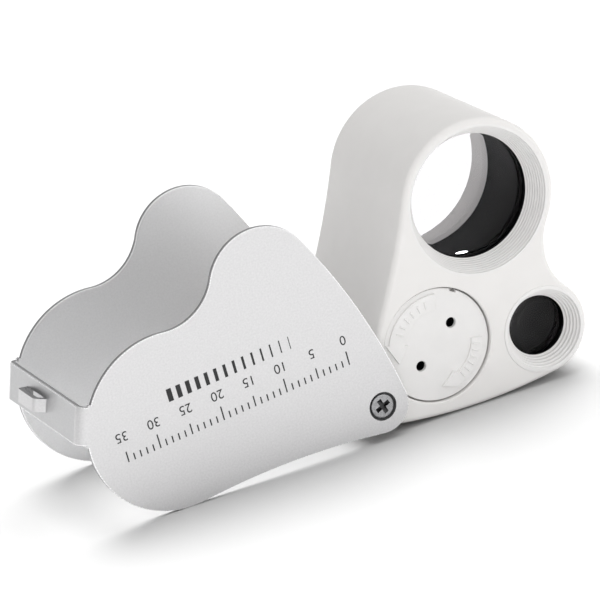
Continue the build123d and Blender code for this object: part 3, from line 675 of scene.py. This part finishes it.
def digit_mesh(text, size):
    """Outline of a number as a flat mesh, centred on its own width."""
    curve = bpy.data.curves.new("digits", "FONT")
    curve.body = text
    curve.size = size
    curve.align_x = "CENTER"
    carrier = add_object("digits", curve)
    depsgraph = bpy.context.evaluated_depsgraph_get()
    mesh = bpy.data.meshes.new_from_object(carrier.evaluated_get(depsgraph))
    bpy.data.objects.remove(carrier)
    return mesh


def scale_print():
    shape = Shape()
    for number in range(TICKS):
        height = next(length for step, length in TICK_LENGTHS.items() if number % step == 0)
        ink_bar(shape, PRINT_START + number, TICK_ROW - height, TICK_WIDTH, height)
    for number in range(GAUGE_COUNT):
        place = GAUGE_START + number * GAUGE_PITCH
        ink_bar(shape, place, GAUGE_ROW - GAUGE_DROP, GAUGE_WIDTH + GAUGE_WIDENING * number, GAUGE_LENGTH)
    for number in range(0, TICKS, 5):
        mesh = digit_mesh(str(number), DIGIT_SIZE)
        verts = shape.loop([on_plate(PRINT_START + number + v.co.x, DIGIT_ROW + v.co.y) for v in mesh.vertices])
        for polygon in mesh.polygons:
            shape.face([verts[i] for i in polygon.vertices], True)
    return settle(shape.make("scale_print", INK), "cover_case", "tube_black")


# ---- pivot ----

HEAD = 1.75
HEAD_HEIGHT = 0.5
HEAD_EDGE = 0.22
SHANK = 0.95
CROSS_HALF_ARM = 1.15
CROSS_HALF_WIDTH = 0.33
CROSS_DEPTH = 0.48
CROSS_TURN = 24.0


def cross_outline(centre, arm, width, turn):
    """Twelve-cornered cross."""
    quarter = [(arm, -width), (arm, width), (width, width)]
    points = []
    for corner in range(4):
        for x, y in quarter:
            point = Matrix.Rotation(math.radians(90 * corner + turn), 2) @ Vector((x, y))
            points.append(centre + point)
    return points


def screw_head(shape, centre, radius, edge, face_at, seat_at, arm, width, depth, turn, place):
    """Rounded head with a cross recess that narrows as it goes down; the first part of a closed shape."""
    step = math.copysign(1.0, seat_at - face_at)
    loops = []
    for inset, drop in rounded(edge, 0.0, 0.0, True, 4):
        loops.append(shape.loop([place(p, face_at + step * drop) for p in circle(centre, radius - inset, 72)]))
    shape.skin(loops)
    cross = cross_outline(centre, arm, width, turn)
    shape.fill([circle(centre, radius - edge, 72), cross], lambda p: place(p, face_at))
    floor = cross_outline(centre, arm * 0.55, width * 0.7, turn)
    # The recess walls and floor get the darkened steel as painted shade.
    shape.paint = 1
    shape.skin([shape.loop([place(p, face_at) for p in cross]),
                shape.loop([place(p, face_at + step * depth) for p in floor])], strong=(0,))
    shape.fill([floor], lambda p: place(p, face_at + step * depth))
    shape.paint = 0


def in_space(point, y):
    return Vector((point.x, y, point.y))


def pivot_screw(name, node, outward):
    """Screw at one end of the shaft; outward is -1 at the front and 1 at the back."""
    shape = Shape()
    low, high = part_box(node)
    face_at, tip_at = (low.y / MM, high.y / MM) if outward < 0 else (high.y / MM, low.y / MM)
    seat_at = face_at - outward * HEAD_HEIGHT
    screw_head(shape, PIVOT, HEAD, HEAD_EDGE, face_at, seat_at, CROSS_HALF_ARM, CROSS_HALF_WIDTH, CROSS_DEPTH,
               CROSS_TURN, in_space)
    rest = [(HEAD, face_at - outward * HEAD_EDGE), (HEAD, seat_at), (SHANK, seat_at), (SHANK, tip_at), (0, tip_at)]
    loops = []
    for radius, y in rest:
        ring = [PIVOT] if radius == 0 else circle(PIVOT, radius, 72)
        loops.append(shape.loop([in_space(p, y) for p in ring]))
    shape.skin(loops, strong=(0, 1, 2, 3))
    return settle(shape.make(name, STEEL, STEEL_PAINTED_SHADE), "cover_case", "steel", node)


# ---- lens body ----

BODY_SPOTS = (PIVOT, BIG, SMALL)
BIG_HOLE = 11.03
SMALL_HOLE = 6.02
CAP_HOLE = 8.45
HOLE_EDGE = 0.2


def body_case():
    """Moulded shell: rounded front edge, side wall, open back, and the four holes of its front wall."""
    shape = Shape()
    outside = rounded(FRONT_EDGE, 0.0, 0.0, False)
    back = [(inset, DEPTH - drop) for inset, drop in rounded(BACK_EDGE, 0.0, 0.0, True)]
    rim = [(WALL - 0.1, DEPTH), (WALL, DEPTH - 0.1), (WALL, FRONT_WALL)]
    outline = outside + back + rim
    loops = [shape.level(lobed_outline(BODY_SPOTS, BODY_RADII, inset), depth)
             for inset, depth in outline]
    straight = len(outside) - 1
    rim_start = len(outside) + len(back) - 1
    shape.skin(loops, strong=(straight, rim_start, rim_start + 2))
    holes = [circle(BIG, BIG_HOLE, 144), circle(SMALL, SMALL_HOLE, 96), circle(PIVOT, SHAFT_HOLE, 48)]
    front = [lobed_outline(BODY_SPOTS, BODY_RADII, FRONT_EDGE), *holes, circle(CELLS, CAP_HOLE + HOLE_EDGE, 144)]
    inner = [lobed_outline(BODY_SPOTS, BODY_RADII, WALL), *holes, circle(CELLS, CAP_HOLE, 144)]
    shape.fill(front, lambda p: at(p, 0))
    shape.fill(inner, lambda p: at(p, FRONT_WALL))
    for hole in holes:
        shape.wall(hole, (0, FRONT_WALL))
    lip = [(CAP_HOLE + inset, depth) for inset, depth in rounded(HOLE_EDGE, 0.0, 0.0, False, 4)]
    shape.lathe(CELLS, lip + [(CAP_HOLE, FRONT_WALL)], 144, strong=(4,), closed=False)
    return settle(shape.make("body_case", BODY_WHITE), "lens_body", "body_white", "body_shell")


LEDGE = 6.9
LEDGE_END = 2.3
CHAMBER = 8.05
CHAMBER_END = 3.0
CUP_BORE = 6.1
CUP_WALL = 1.0
CUP_END = 14.35


def battery_cup():
    """Ledge and chamber for the lugs, and the bore that holds the cells."""
    shape = Shape()
    outer = CHAMBER + 0.4
    shelf = CHAMBER_END + CUP_WALL
    shape.lathe(CELLS, [(LEDGE, FRONT_WALL), (LEDGE, LEDGE_END), (CHAMBER, LEDGE_END), (CHAMBER, CHAMBER_END),
                        (CUP_BORE, CHAMBER_END), (CUP_BORE, CUP_END), (0.0, CUP_END), (0.0, CUP_END + CUP_WALL),
                        (CUP_BORE + CUP_WALL, CUP_END + CUP_WALL), (CUP_BORE + CUP_WALL, shelf), (outer, shelf),
                        (outer, FRONT_WALL)], 120, strong=range(12))
    return settle(shape.make("battery_cup", BODY_WHITE), "lens_body", "body_white")


LID_SCREW_HOLE = 1.25
COUNTERSINK = 0.7
BIG_BACK_MOUTH = 10.25
BIG_MOUTH_EDGE = 0.15
BIG_COLLAR = 10.65
BIG_COLLAR_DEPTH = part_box("big_tube")[1].y / MM - FRONT
BIG_BACK_STEP = BIG_COLLAR_DEPTH + 1.2
SMALL_BACK_MOUTH = 4.9
SMALL_MOUTH_EDGE = 0.12
SMALL_COLLAR = 5.3
SMALL_COLLAR_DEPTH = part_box("small_tube")[1].y / MM - FRONT
BIG_BORE = 9.35
SMALL_BORE = 4.5
LID_EDGE = 0.18
LID_SCREW_HEAD = 1.2
LID_SCREW_EDGE = 0.06
LID_SCREW_LENGTH = 5.0
LID_SCREW_POINT = 0.6
LID_CROSS = (0.7, 0.15, 0.4)     # half arm, half width and depth
LID_CROSS_TURNS = (20.0, 55.0, 90.0)


def screw_places():
    """Centres of the three lid screws, read from the corners of their shared node."""
    node = frame["nodes"]["lid_screws"]
    points = [Vector((v.co.x, v.co.z)) / MM for v in node.data.vertices]
    places = []
    while points:
        group = [p for p in points if (p - points[0]).length < 4 * LID_SCREW_HOLE]
        xs, zs = [p.x for p in group], [p.y for p in group]
        places.append(Vector(((min(xs) + max(xs)) / 2, (min(zs) + max(zs)) / 2)))
        points = [p for p in points if p not in group]
    return places


def rear_lid():
    """Inset lid with a collar round each lens opening."""
    shape = Shape()
    floor = DEPTH - LID_THICK
    inset = WALL + LID_GAP
    rings = [(inset + LID_EDGE, DEPTH), (inset + 0.3 * LID_EDGE, DEPTH - 0.3 * LID_EDGE), (inset, DEPTH - LID_EDGE),
             (inset, floor)]
    loops = [shape.level(lobed_outline(BODY_SPOTS, BODY_RADII, one), depth) for one, depth in rings]
    shape.skin(loops, strong=(2,))
    screws = screw_places()
    boss = circle(PIVOT, BOSS + LID_GAP, 60)
    outer_holes = [circle(BIG, BIG_BACK_MOUTH + BIG_MOUTH_EDGE, 144),
                   circle(SMALL, SMALL_BACK_MOUTH + SMALL_MOUTH_EDGE, 96), boss]
    outer_holes += [circle(p, LID_SCREW_HOLE, 48) for p in screws]
    inner_holes = [circle(BIG, BIG_COLLAR, 144), circle(SMALL, SMALL_COLLAR, 96), boss]
    inner_holes += [circle(p, LID_SCREW_HOLE - COUNTERSINK, 48) for p in screws]
    shape.fill([lobed_outline(BODY_SPOTS, BODY_RADII, inset + LID_EDGE), *outer_holes], lambda p: at(p, DEPTH))
    shape.fill([lobed_outline(BODY_SPOTS, BODY_RADII, inset), *inner_holes], lambda p: at(p, floor))
    shape.wall(boss, (DEPTH, floor))
    for place in screws:
        narrow = LID_SCREW_HOLE - COUNTERSINK
        cone = [(LID_SCREW_HOLE, DEPTH), (narrow, DEPTH - COUNTERSINK), (narrow, floor)]
        shape.lathe(place, cone, 48, closed=False)
    shape.lathe(BIG, [(BIG_BACK_MOUTH + BIG_MOUTH_EDGE, DEPTH), (BIG_BACK_MOUTH, DEPTH - BIG_MOUTH_EDGE),
                      (BIG_BACK_MOUTH, BIG_BACK_STEP), (BIG_BORE, BIG_BACK_STEP), (BIG_BORE, BIG_COLLAR_DEPTH),
                      (BIG_COLLAR, BIG_COLLAR_DEPTH), (BIG_COLLAR, floor)], 144, closed=False)
    shape.lathe(SMALL, [(SMALL_BACK_MOUTH + SMALL_MOUTH_EDGE, DEPTH), (SMALL_BACK_MOUTH, DEPTH - SMALL_MOUTH_EDGE),
                        (SMALL_BORE, floor), (SMALL_BORE, SMALL_COLLAR_DEPTH), (SMALL_COLLAR, SMALL_COLLAR_DEPTH),
                        (SMALL_COLLAR, floor)], 96, closed=False)
    return settle(shape.make("rear_lid", BODY_WHITE), "lens_body", "body_white", "back_lid")


def lid_screws():
    shape = Shape()
    tip = DEPTH - LID_SCREW_LENGTH
    shank = LID_SCREW_HEAD - COUNTERSINK
    for place, turn in zip(screw_places(), LID_CROSS_TURNS):
        screw_head(shape, place, LID_SCREW_HEAD, LID_SCREW_EDGE, DEPTH, tip, *LID_CROSS, turn, at)
        rest = [(LID_SCREW_HEAD, DEPTH - LID_SCREW_EDGE), (shank, DEPTH - COUNTERSINK),
                (shank, tip + LID_SCREW_POINT), (0, tip)]
        shape.lathe(place, rest, 72, strong=(0, 1, 2), closed=False)
    return settle(shape.make("rear_screws", STEEL, STEEL_PAINTED_SHADE), "lens_body", "steel", "lid_screws")


# ---- rings, tubes, lenses ----

def ridged_profile(outer, mouth, eye, depth, ridges, bead, bottom, edge):
    """Eyepiece mouth: fine rounded steps from the lip down to the eye opening."""
    profile = [(outer, bottom), (outer, edge - bead), (outer - 0.3 * edge, 0.3 * edge - bead), (outer - edge, -bead)]
    run = (mouth - eye) / ridges
    drop = (depth + bead) / ridges
    profile += [(mouth + 0.25 * run, -bead), (mouth, 0.15 * drop - bead)]
    for number in range(ridges):
        radius = mouth - number * run
        top = number * drop - bead
        profile += [(radius - 0.05 * run, top + 0.55 * drop), (radius - 0.18 * run, top + 0.8 * drop),
                    (radius - 0.45 * run, top + 0.92 * drop), (radius - 0.8 * run, top + 0.97 * drop),
                    (radius - 0.95 * run, top + 1.05 * drop)]
    profile += [(eye, depth + 0.1), (eye, bottom)]
    return profile


def front_ring(name, node, centre, outer, mouth, eye, depth, ridges, bead, edge):
    shape = Shape()
    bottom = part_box(node)[1].y / MM - FRONT
    shape.lathe(centre, ridged_profile(outer, mouth, eye, depth, ridges, bead, bottom, edge), 192)
    return settle(shape.make(name, RING_WHITE), "lens_body", "ring_white", node)


def depth_span(node):
    """Front and back of a node on the body's depth scale."""
    low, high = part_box(node)
    return low.y / MM - FRONT, high.y / MM - FRONT


def plain_ring(name, node, centre, outer, inner):
    """Black spacer or retaining ring with broken edges."""
    shape = Shape()
    top, bottom = depth_span(node)
    edge = 0.1
    shape.lathe(centre, [(outer, top), (outer, bottom), (inner + edge, bottom), (inner, bottom - edge),
                         (inner, top + edge), (inner + edge, top)], 144, strong=(0, 1, 3, 5))
    return settle(shape.make(name, BLACK), "lens_body", "tube_black", node)


def lens_blank(name, node, centre, radius, rim, edge, front_curve, back_curve=None):
    """Ground lens: a curved face inside a flat rim; no curve is a flat face."""
    shape = Shape()
    clear = radius - rim
    top, _ = depth_span(node)
    front_rise = front_curve - math.sqrt(front_curve ** 2 - clear ** 2)
    steps = 24

    def bulge(curve, reach):
        return 0.0 if curve is None else math.sqrt(curve ** 2 - reach ** 2) - math.sqrt(curve ** 2 - clear ** 2)

    face_at = top + front_rise
    base_at = face_at + edge
    crown = [(clear * k / steps, face_at - bulge(front_curve, clear * k / steps)) for k in range(steps + 1)]
    base = [(clear * k / steps, base_at + bulge(back_curve, clear * k / steps)) for k in range(steps, -1, -1)]
    bevel = 0.08
    side = [(radius - bevel, face_at), (radius, face_at + bevel),
            (radius, base_at - bevel), (radius - bevel, base_at)]
    shape.lathe(centre, crown + side + base, 144, closed=False)
    return settle(shape.make(name, GLASS), "lens_body", "lens_glass", node)


def tube_profile(bore, seat, outer, top, seat_end, end, lip, stop):
    """Closed profile of a black tube: front lip, lens seat and bore."""
    profile = [(lip + 0.06, top), (lip, top + 0.06), (lip, top + 0.5), (seat, top + 0.5), (seat, seat_end),
               (bore, seat_end), (bore, end)]
    if stop:
        profile[-1:] = [(bore, end - 0.8), (stop, end - 0.8), (stop, end)]
    return profile + [(outer, end), (outer, top)]


def tube(name, node, centre, bore, seat, outer, lip, seat_end, stop):
    shape = Shape()
    top, end = depth_span(node)
    shape.lathe(centre, tube_profile(bore, seat, outer, top, seat_end, end, lip, stop), 144)
    return settle(shape.make(name, BLACK), "lens_body", "tube_black", node)


LAMP_TILT = 25.0
LAMP_RADIUS = 1.5
LAMP_BODY = 3.2              # length from the nose to the flange
LAMP_FLANGE = 1.8
LAMP_RIM = 0.6               # thickness of the flange
NOSE_STEPS = 8


def lamp(name, node, centre):
    """Round-nosed lamp with a rim flange, tilted towards the back."""
    low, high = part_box(node)
    middle = (low + high) / (2 * MM)
    aim = Vector((centre.x - middle.x, 0, centre.y - middle.z)).normalized()
    tilt = math.radians(LAMP_TILT)
    axis = Vector((aim.x * math.cos(tilt), math.sin(tilt), aim.z * math.cos(tilt)))
    # The piece is turned about its own middle, which is the middle of the node
    profile = [(0.0, 0.0)]
    for k in range(1, NOSE_STEPS + 1):
        turn = math.pi / 2 * k / NOSE_STEPS
        profile.append((LAMP_RADIUS * math.sin(turn), LAMP_RADIUS * (1 - math.cos(turn))))
    end = LAMP_BODY + LAMP_RIM
    profile += [(LAMP_RADIUS, LAMP_BODY), (LAMP_FLANGE, LAMP_BODY), (LAMP_FLANGE, end), (0.0, end)]
    shape = Shape()
    side = axis.orthogonal().normalized()
    other = axis.cross(side)
    start = middle + axis * end / 2
    loops = []
    for reach, back in profile:
        turns = [0.0] if reach == 0 else [math.tau * k / 36 for k in range(36)]
        loops.append(shape.loop([start - axis * back + (side * math.cos(t) + other * math.sin(t)) * reach
                                 for t in turns]))
    shape.skin(loops)
    return settle(shape.make(name, GLOW), "lens_body", "lamp", node)


# ---- battery cover ----

CAP = 8.25
CAP_RECESS = 0.5
CAP_UNDER = 1.7
CAP_EDGE = 0.15
CAP_PLUG = 6.6
CAP_NECK = 2.9
NOTCH_TURN = 61.0
NOTCH_HALF = 0.5
NOTCH_CUT = 0.35
LUG_REACH = 7.9
LUG_HALF = 0.8
LUG_TOP = 2.35
LUG_TURN = 35.0
PIN_HOLE = 0.75
PIN_REACH = 3.75
PIN_TURN = 41.1
PIN_DEPTH = 2.5
PIN_EDGE = 0.16
PIN_SHADE = 1.1              # depth from which each hole is painted black
ARROW_RISE = 0.3
ARROW_EDGE = 0.12


def notched_circle(radius, cut, steps=144):
    """Rim of the cover with its index notch."""
    gate = math.degrees(math.asin(NOTCH_HALF / radius))
    turn = Matrix.Rotation(math.radians(NOTCH_TURN), 2)
    points = [CELLS + turn @ Vector((CAP - cut, side * NOTCH_HALF)) for side in (-1, 1)]
    span = 360 - 2 * gate
    return points + [polar(CELLS, radius, NOTCH_TURN + gate + span * k / steps) for k in range(steps + 1)]


# Plain grip ribs between the arrows
GRIP_ARCS = ((97.0, 150.0), (345.0, 300.0))
GRIP_RIBS = 6
RIB_INNER = 5.6
RIB_OUTER = 6.9
RIB_HALF = 0.22
RIB_RISE = 0.45


def arrow_outline(inner, outer, start, end, tip, barb, inset=0.0):
    """Curved arrow between two radii, from the start angle to a head that ends at the tip angle."""
    steps = 24
    way = 1 if tip > end else -1
    middle = (inner + outer) / 2
    half = (outer - inner) / 2 - inset
    slack = math.degrees(inset / middle) * way
    first, last, point = start + slack, end + slack, tip - 1.6 * slack
    turns = [first + (last - first) * k / steps for k in range(steps + 1)]
    outline = [polar(CELLS, middle + half, t) for t in turns]
    outline += [polar(CELLS, middle + half + barb, last), polar(CELLS, middle, point)]
    outline += [polar(CELLS, middle - half - barb, last)]
    outline += [polar(CELLS, middle - half, t) for t in reversed(turns)]
    return outline


ARROWS = ({"inner": 5.05, "outer": 7.55, "start": 82.0, "end": 164.0, "tip": 190.0, "barb": 0.5},
          {"inner": 5.45, "outer": 7.2, "start": 353.0, "end": 292.0, "tip": 268.0, "barb": 0.6})


def battery_cap():
    """Quarter-turn cover with two raised arrows, two spanner holes and an index notch."""
    shape = Shape()
    rims = [(CAP - CAP_EDGE, CAP_RECESS), (CAP - 0.3 * CAP_EDGE, CAP_RECESS + 0.3 * CAP_EDGE),
            (CAP, CAP_RECESS + CAP_EDGE), (CAP, CAP_UNDER)]
    outlines = [notched_circle(radius, NOTCH_CUT + CAP - radius) for radius, _ in rims]
    shape.skin([shape.level(one, rim[1]) for one, rim in zip(outlines, rims)], strong=(2,))
    plug = circle(CELLS, CAP_PLUG, 144)
    shape.fill([outlines[-1], plug], lambda p: at(p, CAP_UNDER))
    shape.lathe(CELLS, [(CAP_PLUG, CAP_UNDER), (CAP_PLUG, CAP_NECK), (0.0, CAP_NECK)], 144, strong=(0, 1),
                closed=False)
    pins = [polar(CELLS, PIN_REACH, PIN_TURN + turn) for turn in (0, 180)]
    arrows = [arrow_outline(**arrow) for arrow in ARROWS]
    rims_of_pins = [circle(p, PIN_HOLE + PIN_EDGE, 40) for p in pins]
    shape.fill([outlines[0], *rims_of_pins, *arrows], lambda p: at(p, CAP_RECESS))
    for pin in pins:
        lip = [(PIN_HOLE + inset, CAP_RECESS + drop) for inset, drop in rounded(PIN_EDGE, 0.0, 0.0, False, 3)]
        shape.lathe(pin, lip + [(PIN_HOLE, PIN_SHADE)], 40, strong=(3,), closed=False)
        # Below PIN_SHADE each hole's wall and its floor are painted black as painted shade.
        shape.paint = 1
        shape.lathe(pin, [(PIN_HOLE, PIN_SHADE), (PIN_HOLE, PIN_DEPTH), (0.0, PIN_DEPTH)], 40, strong=(0, 1),
                    closed=False)
        shape.paint = 0
    for arrow in ARROWS:
        raised = [arrow_outline(**arrow), arrow_outline(**arrow, inset=0.3 * ARROW_EDGE),
                  arrow_outline(**arrow, inset=ARROW_EDGE)]
        heights = [0.0, 0.8 * ARROW_RISE, ARROW_RISE]
        shape.skin([shape.level(one, CAP_RECESS - h) for one, h in zip(raised, heights)])
        shape.fill([raised[-1]], lambda p: at(p, CAP_RECESS - ARROW_RISE))
    for first, last in GRIP_ARCS:
        for k in range(GRIP_RIBS):
            add_rib(shape, first + (last - first) * k / (GRIP_RIBS - 1))
    return settle(shape.make("battery_cap", RING_WHITE, BLACK), "battery_cap", "ring_white", "battery_cover")


def add_rib(shape, turn):
    """Short raised bar that points at the middle of the cover, with a flat top and sloping sides."""
    spin = Matrix.Rotation(math.radians(turn), 2)
    loops = []
    for inset, rise in ((0.0, 0.0), (0.5 * RIB_HALF, 0.8 * RIB_RISE), (0.7 * RIB_HALF, RIB_RISE)):
        low, high, half = RIB_INNER + inset, RIB_OUTER - inset, RIB_HALF - inset
        corners = [(low, -half), (high, -half), (high, half), (low, half)]
        loops.append(shape.loop([at(CELLS + spin @ Vector(c), CAP_RECESS - rise) for c in corners]))
    shape.skin(loops)
    shape.face(loops[-1], True)


def cap_lugs():
    """The two bayonet lugs, on the plug under the rim."""
    shape = Shape()
    for side in (0, 180):
        turn = Matrix.Rotation(math.radians(LUG_TURN + side), 2)
        root = CAP_PLUG - 0.2
        corners = [(root, -LUG_HALF), (LUG_REACH, -LUG_HALF), (LUG_REACH, LUG_HALF), (root, LUG_HALF)]
        outline = [CELLS + turn @ Vector(c) for c in corners]
        upper = shape.level(outline, LUG_TOP)
        lower = shape.level(outline, CAP_NECK)
        shape.face(upper, True)
        shape.face(lower[::-1], True)
        shape.band(upper, lower, strong=True)
    return settle(shape.make("cap_lugs", RING_WHITE), "battery_cap", "ring_white")


# ---- stage ----

CAMERA_TARGET = Vector((PIVOT.x - 5.611, -3.96, PIVOT.y + 15.475)) * MM
CAMERA_DISTANCE = 654.2 * MM
CAMERA_AZIMUTH = -21.506
CAMERA_ELEVATION = 19.14
CAMERA_ROLL = -10.566
LENS_LENGTH = 277.79


def camera():
    data = bpy.data.cameras.new("camera")
    data.lens = LENS_LENGTH
    data.sensor_width = 36
    data.clip_start = 0.01
    data.clip_end = 20
    piece = add_object("camera", data)
    azimuth, elevation = math.radians(CAMERA_AZIMUTH), math.radians(CAMERA_ELEVATION)
    ahead = Vector((-math.sin(azimuth) * math.cos(elevation), math.cos(azimuth) * math.cos(elevation),
                    -math.sin(elevation)))
    right = ahead.cross(Vector((0, 0, 1))).normalized()
    up = right.cross(ahead)
    roll = math.radians(CAMERA_ROLL)
    tilted_right = right * math.cos(roll) + up * math.sin(roll)
    tilted_up = up * math.cos(roll) - right * math.sin(roll)
    turn = Matrix((tilted_right, tilted_up, -ahead)).transposed()
    piece.matrix_world = Matrix.Translation(CAMERA_TARGET - ahead * CAMERA_DISTANCE) @ turn.to_4x4()
    bpy.context.scene.camera = piece


SKY_AXIS = (0.50, -0.60, 0.50)     # the surroundings get brighter this way
SKY_DARK = 0.28
SKY_LIGHT = 1.08
KEY_FROM = (0.40, 0.0, 0.90)
KEY_STRENGTH = 0.2
KEY_ANGLE = 60.0
FLOOR_FROM = (0.22, 0.36, 1.0)
FLOOR_STRENGTH = 5.6
FLOOR_ANGLE = 58.0


def surroundings():
    """Even white room, dimmer on the low left."""
    world = bpy.data.worlds.new("studio")
    world.use_nodes = True
    tree = world.node_tree
    place = tree.nodes.new("ShaderNodeTexCoord")
    along = add_node(tree, "ShaderNodeVectorMath", operation="DOT_PRODUCT")
    along.inputs[1].default_value = Vector(SKY_AXIS).normalized()
    tree.links.new(place.outputs["Generated"], along.inputs[0])
    level = spread(tree, along.outputs["Value"], SKY_DARK, SKY_LIGHT, -1.0, 1.0)
    tree.links.new(level, tree.nodes["Background"].inputs["Strength"])
    tree.nodes["Background"].inputs["Color"].default_value = (1, 1, 1, 1)
    bpy.context.scene.world = world


def soft_sun(name, comes_from, strength, angle):
    data = bpy.data.lights.new(name, "SUN")
    data.energy = strength
    data.angle = math.radians(angle)
    light = add_object(name, data)
    light.rotation_mode = "QUATERNION"
    light.rotation_quaternion = Vector(comes_from).to_track_quat("Z", "Y")
    return light


def studio():
    """Pale sweep, soft surroundings, a soft key light, and an overhead light for the sweep alone."""
    bpy.context.scene.view_settings.view_transform = "Standard"
    surroundings()
    soft_sun("key", KEY_FROM, KEY_STRENGTH, KEY_ANGLE)
    shape = Shape()
    half = 3000.0
    shape.face(shape.loop([(-half, -half, 0), (half, -half, 0), (half, half, 0), (-half, half, 0)]), True)
    paper = patterned("pale_paper", (0.445, 0.445, 0.445), (0.455, 0.455, 0.455), (0.7, 0.8), scale=3.0,
                      bump_scale=40.0, gloss=0.1)
    floor = shape.make("floor", paper)
    sweep = bpy.data.collections.new("sweep")
    sweep.objects.link(floor)
    soft_sun("sweep_light", FLOOR_FROM, FLOOR_STRENGTH, FLOOR_ANGLE).light_linking.receiver_collection = sweep


# Outer, mouth and eye radii, depth, ridges, bead and edge of each eyepiece ring
BIG_EYEPIECE = (11.05, 10.6, 9.05, 3.1, 8, 0.0, 0.05)
SMALL_EYEPIECE = (6.4, 5.8, 4.4, 2.3, 5, 0.15, 0.15)

# Seat, outer and lip radii, depth of the seat's end, and radius of the back stop, of each tube
BIG_TUBE = (9.75, 10.3, 9.05, 8.7, None)
SMALL_TUBE = (4.8, 5.3, 4.4, 7.9, 3.3)

# Radius, rim width and edge thickness of the lenses, and radii of the rings between them
BIG_BLANK = (9.7, 0.7, 1.4)
SMALL_BLANK = (4.75, 0.4, 1.3)
BIG_SPACER = BIG_RETAINER = (9.7, 9.25)
SMALL_SPACER = (4.75, 4.4)
SMALL_RETAINER = (4.75, 4.2)

camera()
studio()
finish_cad_nodes()

cover()
scale_print()
pivot_screw("pivot_screw_front", "front_pivot_screw", -1)
pivot_screw("pivot_screw_back", "back_pivot_screw", 1)

body_case()
battery_cup()
rear_lid()
lid_screws()
front_ring("big_eyepiece", "big_front_ring", BIG, *BIG_EYEPIECE)
front_ring("small_eyepiece", "small_front_ring", SMALL, *SMALL_EYEPIECE)
tube("big_barrel", "big_tube", BIG, BIG_BORE, *BIG_TUBE)
tube("small_barrel", "small_tube", SMALL, SMALL_BORE, *SMALL_TUBE)
lens_blank("big_lens_outer", "big_lens_front", BIG, *BIG_BLANK, front_curve=110.0, back_curve=110.0)
lens_blank("big_lens_inner", "big_lens_back", BIG, *BIG_BLANK, front_curve=57.0)
plain_ring("big_spacer", "big_lens_spacer", BIG, *BIG_SPACER)
plain_ring("big_retainer", "big_retaining_ring", BIG, *BIG_RETAINER)
lens_blank("small_lens_outer", "small_lens_front", SMALL, *SMALL_BLANK, front_curve=52.0, back_curve=13.0)
lens_blank("small_lens_inner", "small_lens_back", SMALL, *SMALL_BLANK, front_curve=26.0)
plain_ring("small_spacer", "small_lens_spacer", SMALL, *SMALL_SPACER)
plain_ring("small_retainer", "small_retaining_ring", SMALL, *SMALL_RETAINER)
lamp("big_lamp_lit", "big_lamp", BIG)
lamp("small_lamp_lit", "small_lamp", SMALL)
battery_cap()
cap_lugs()
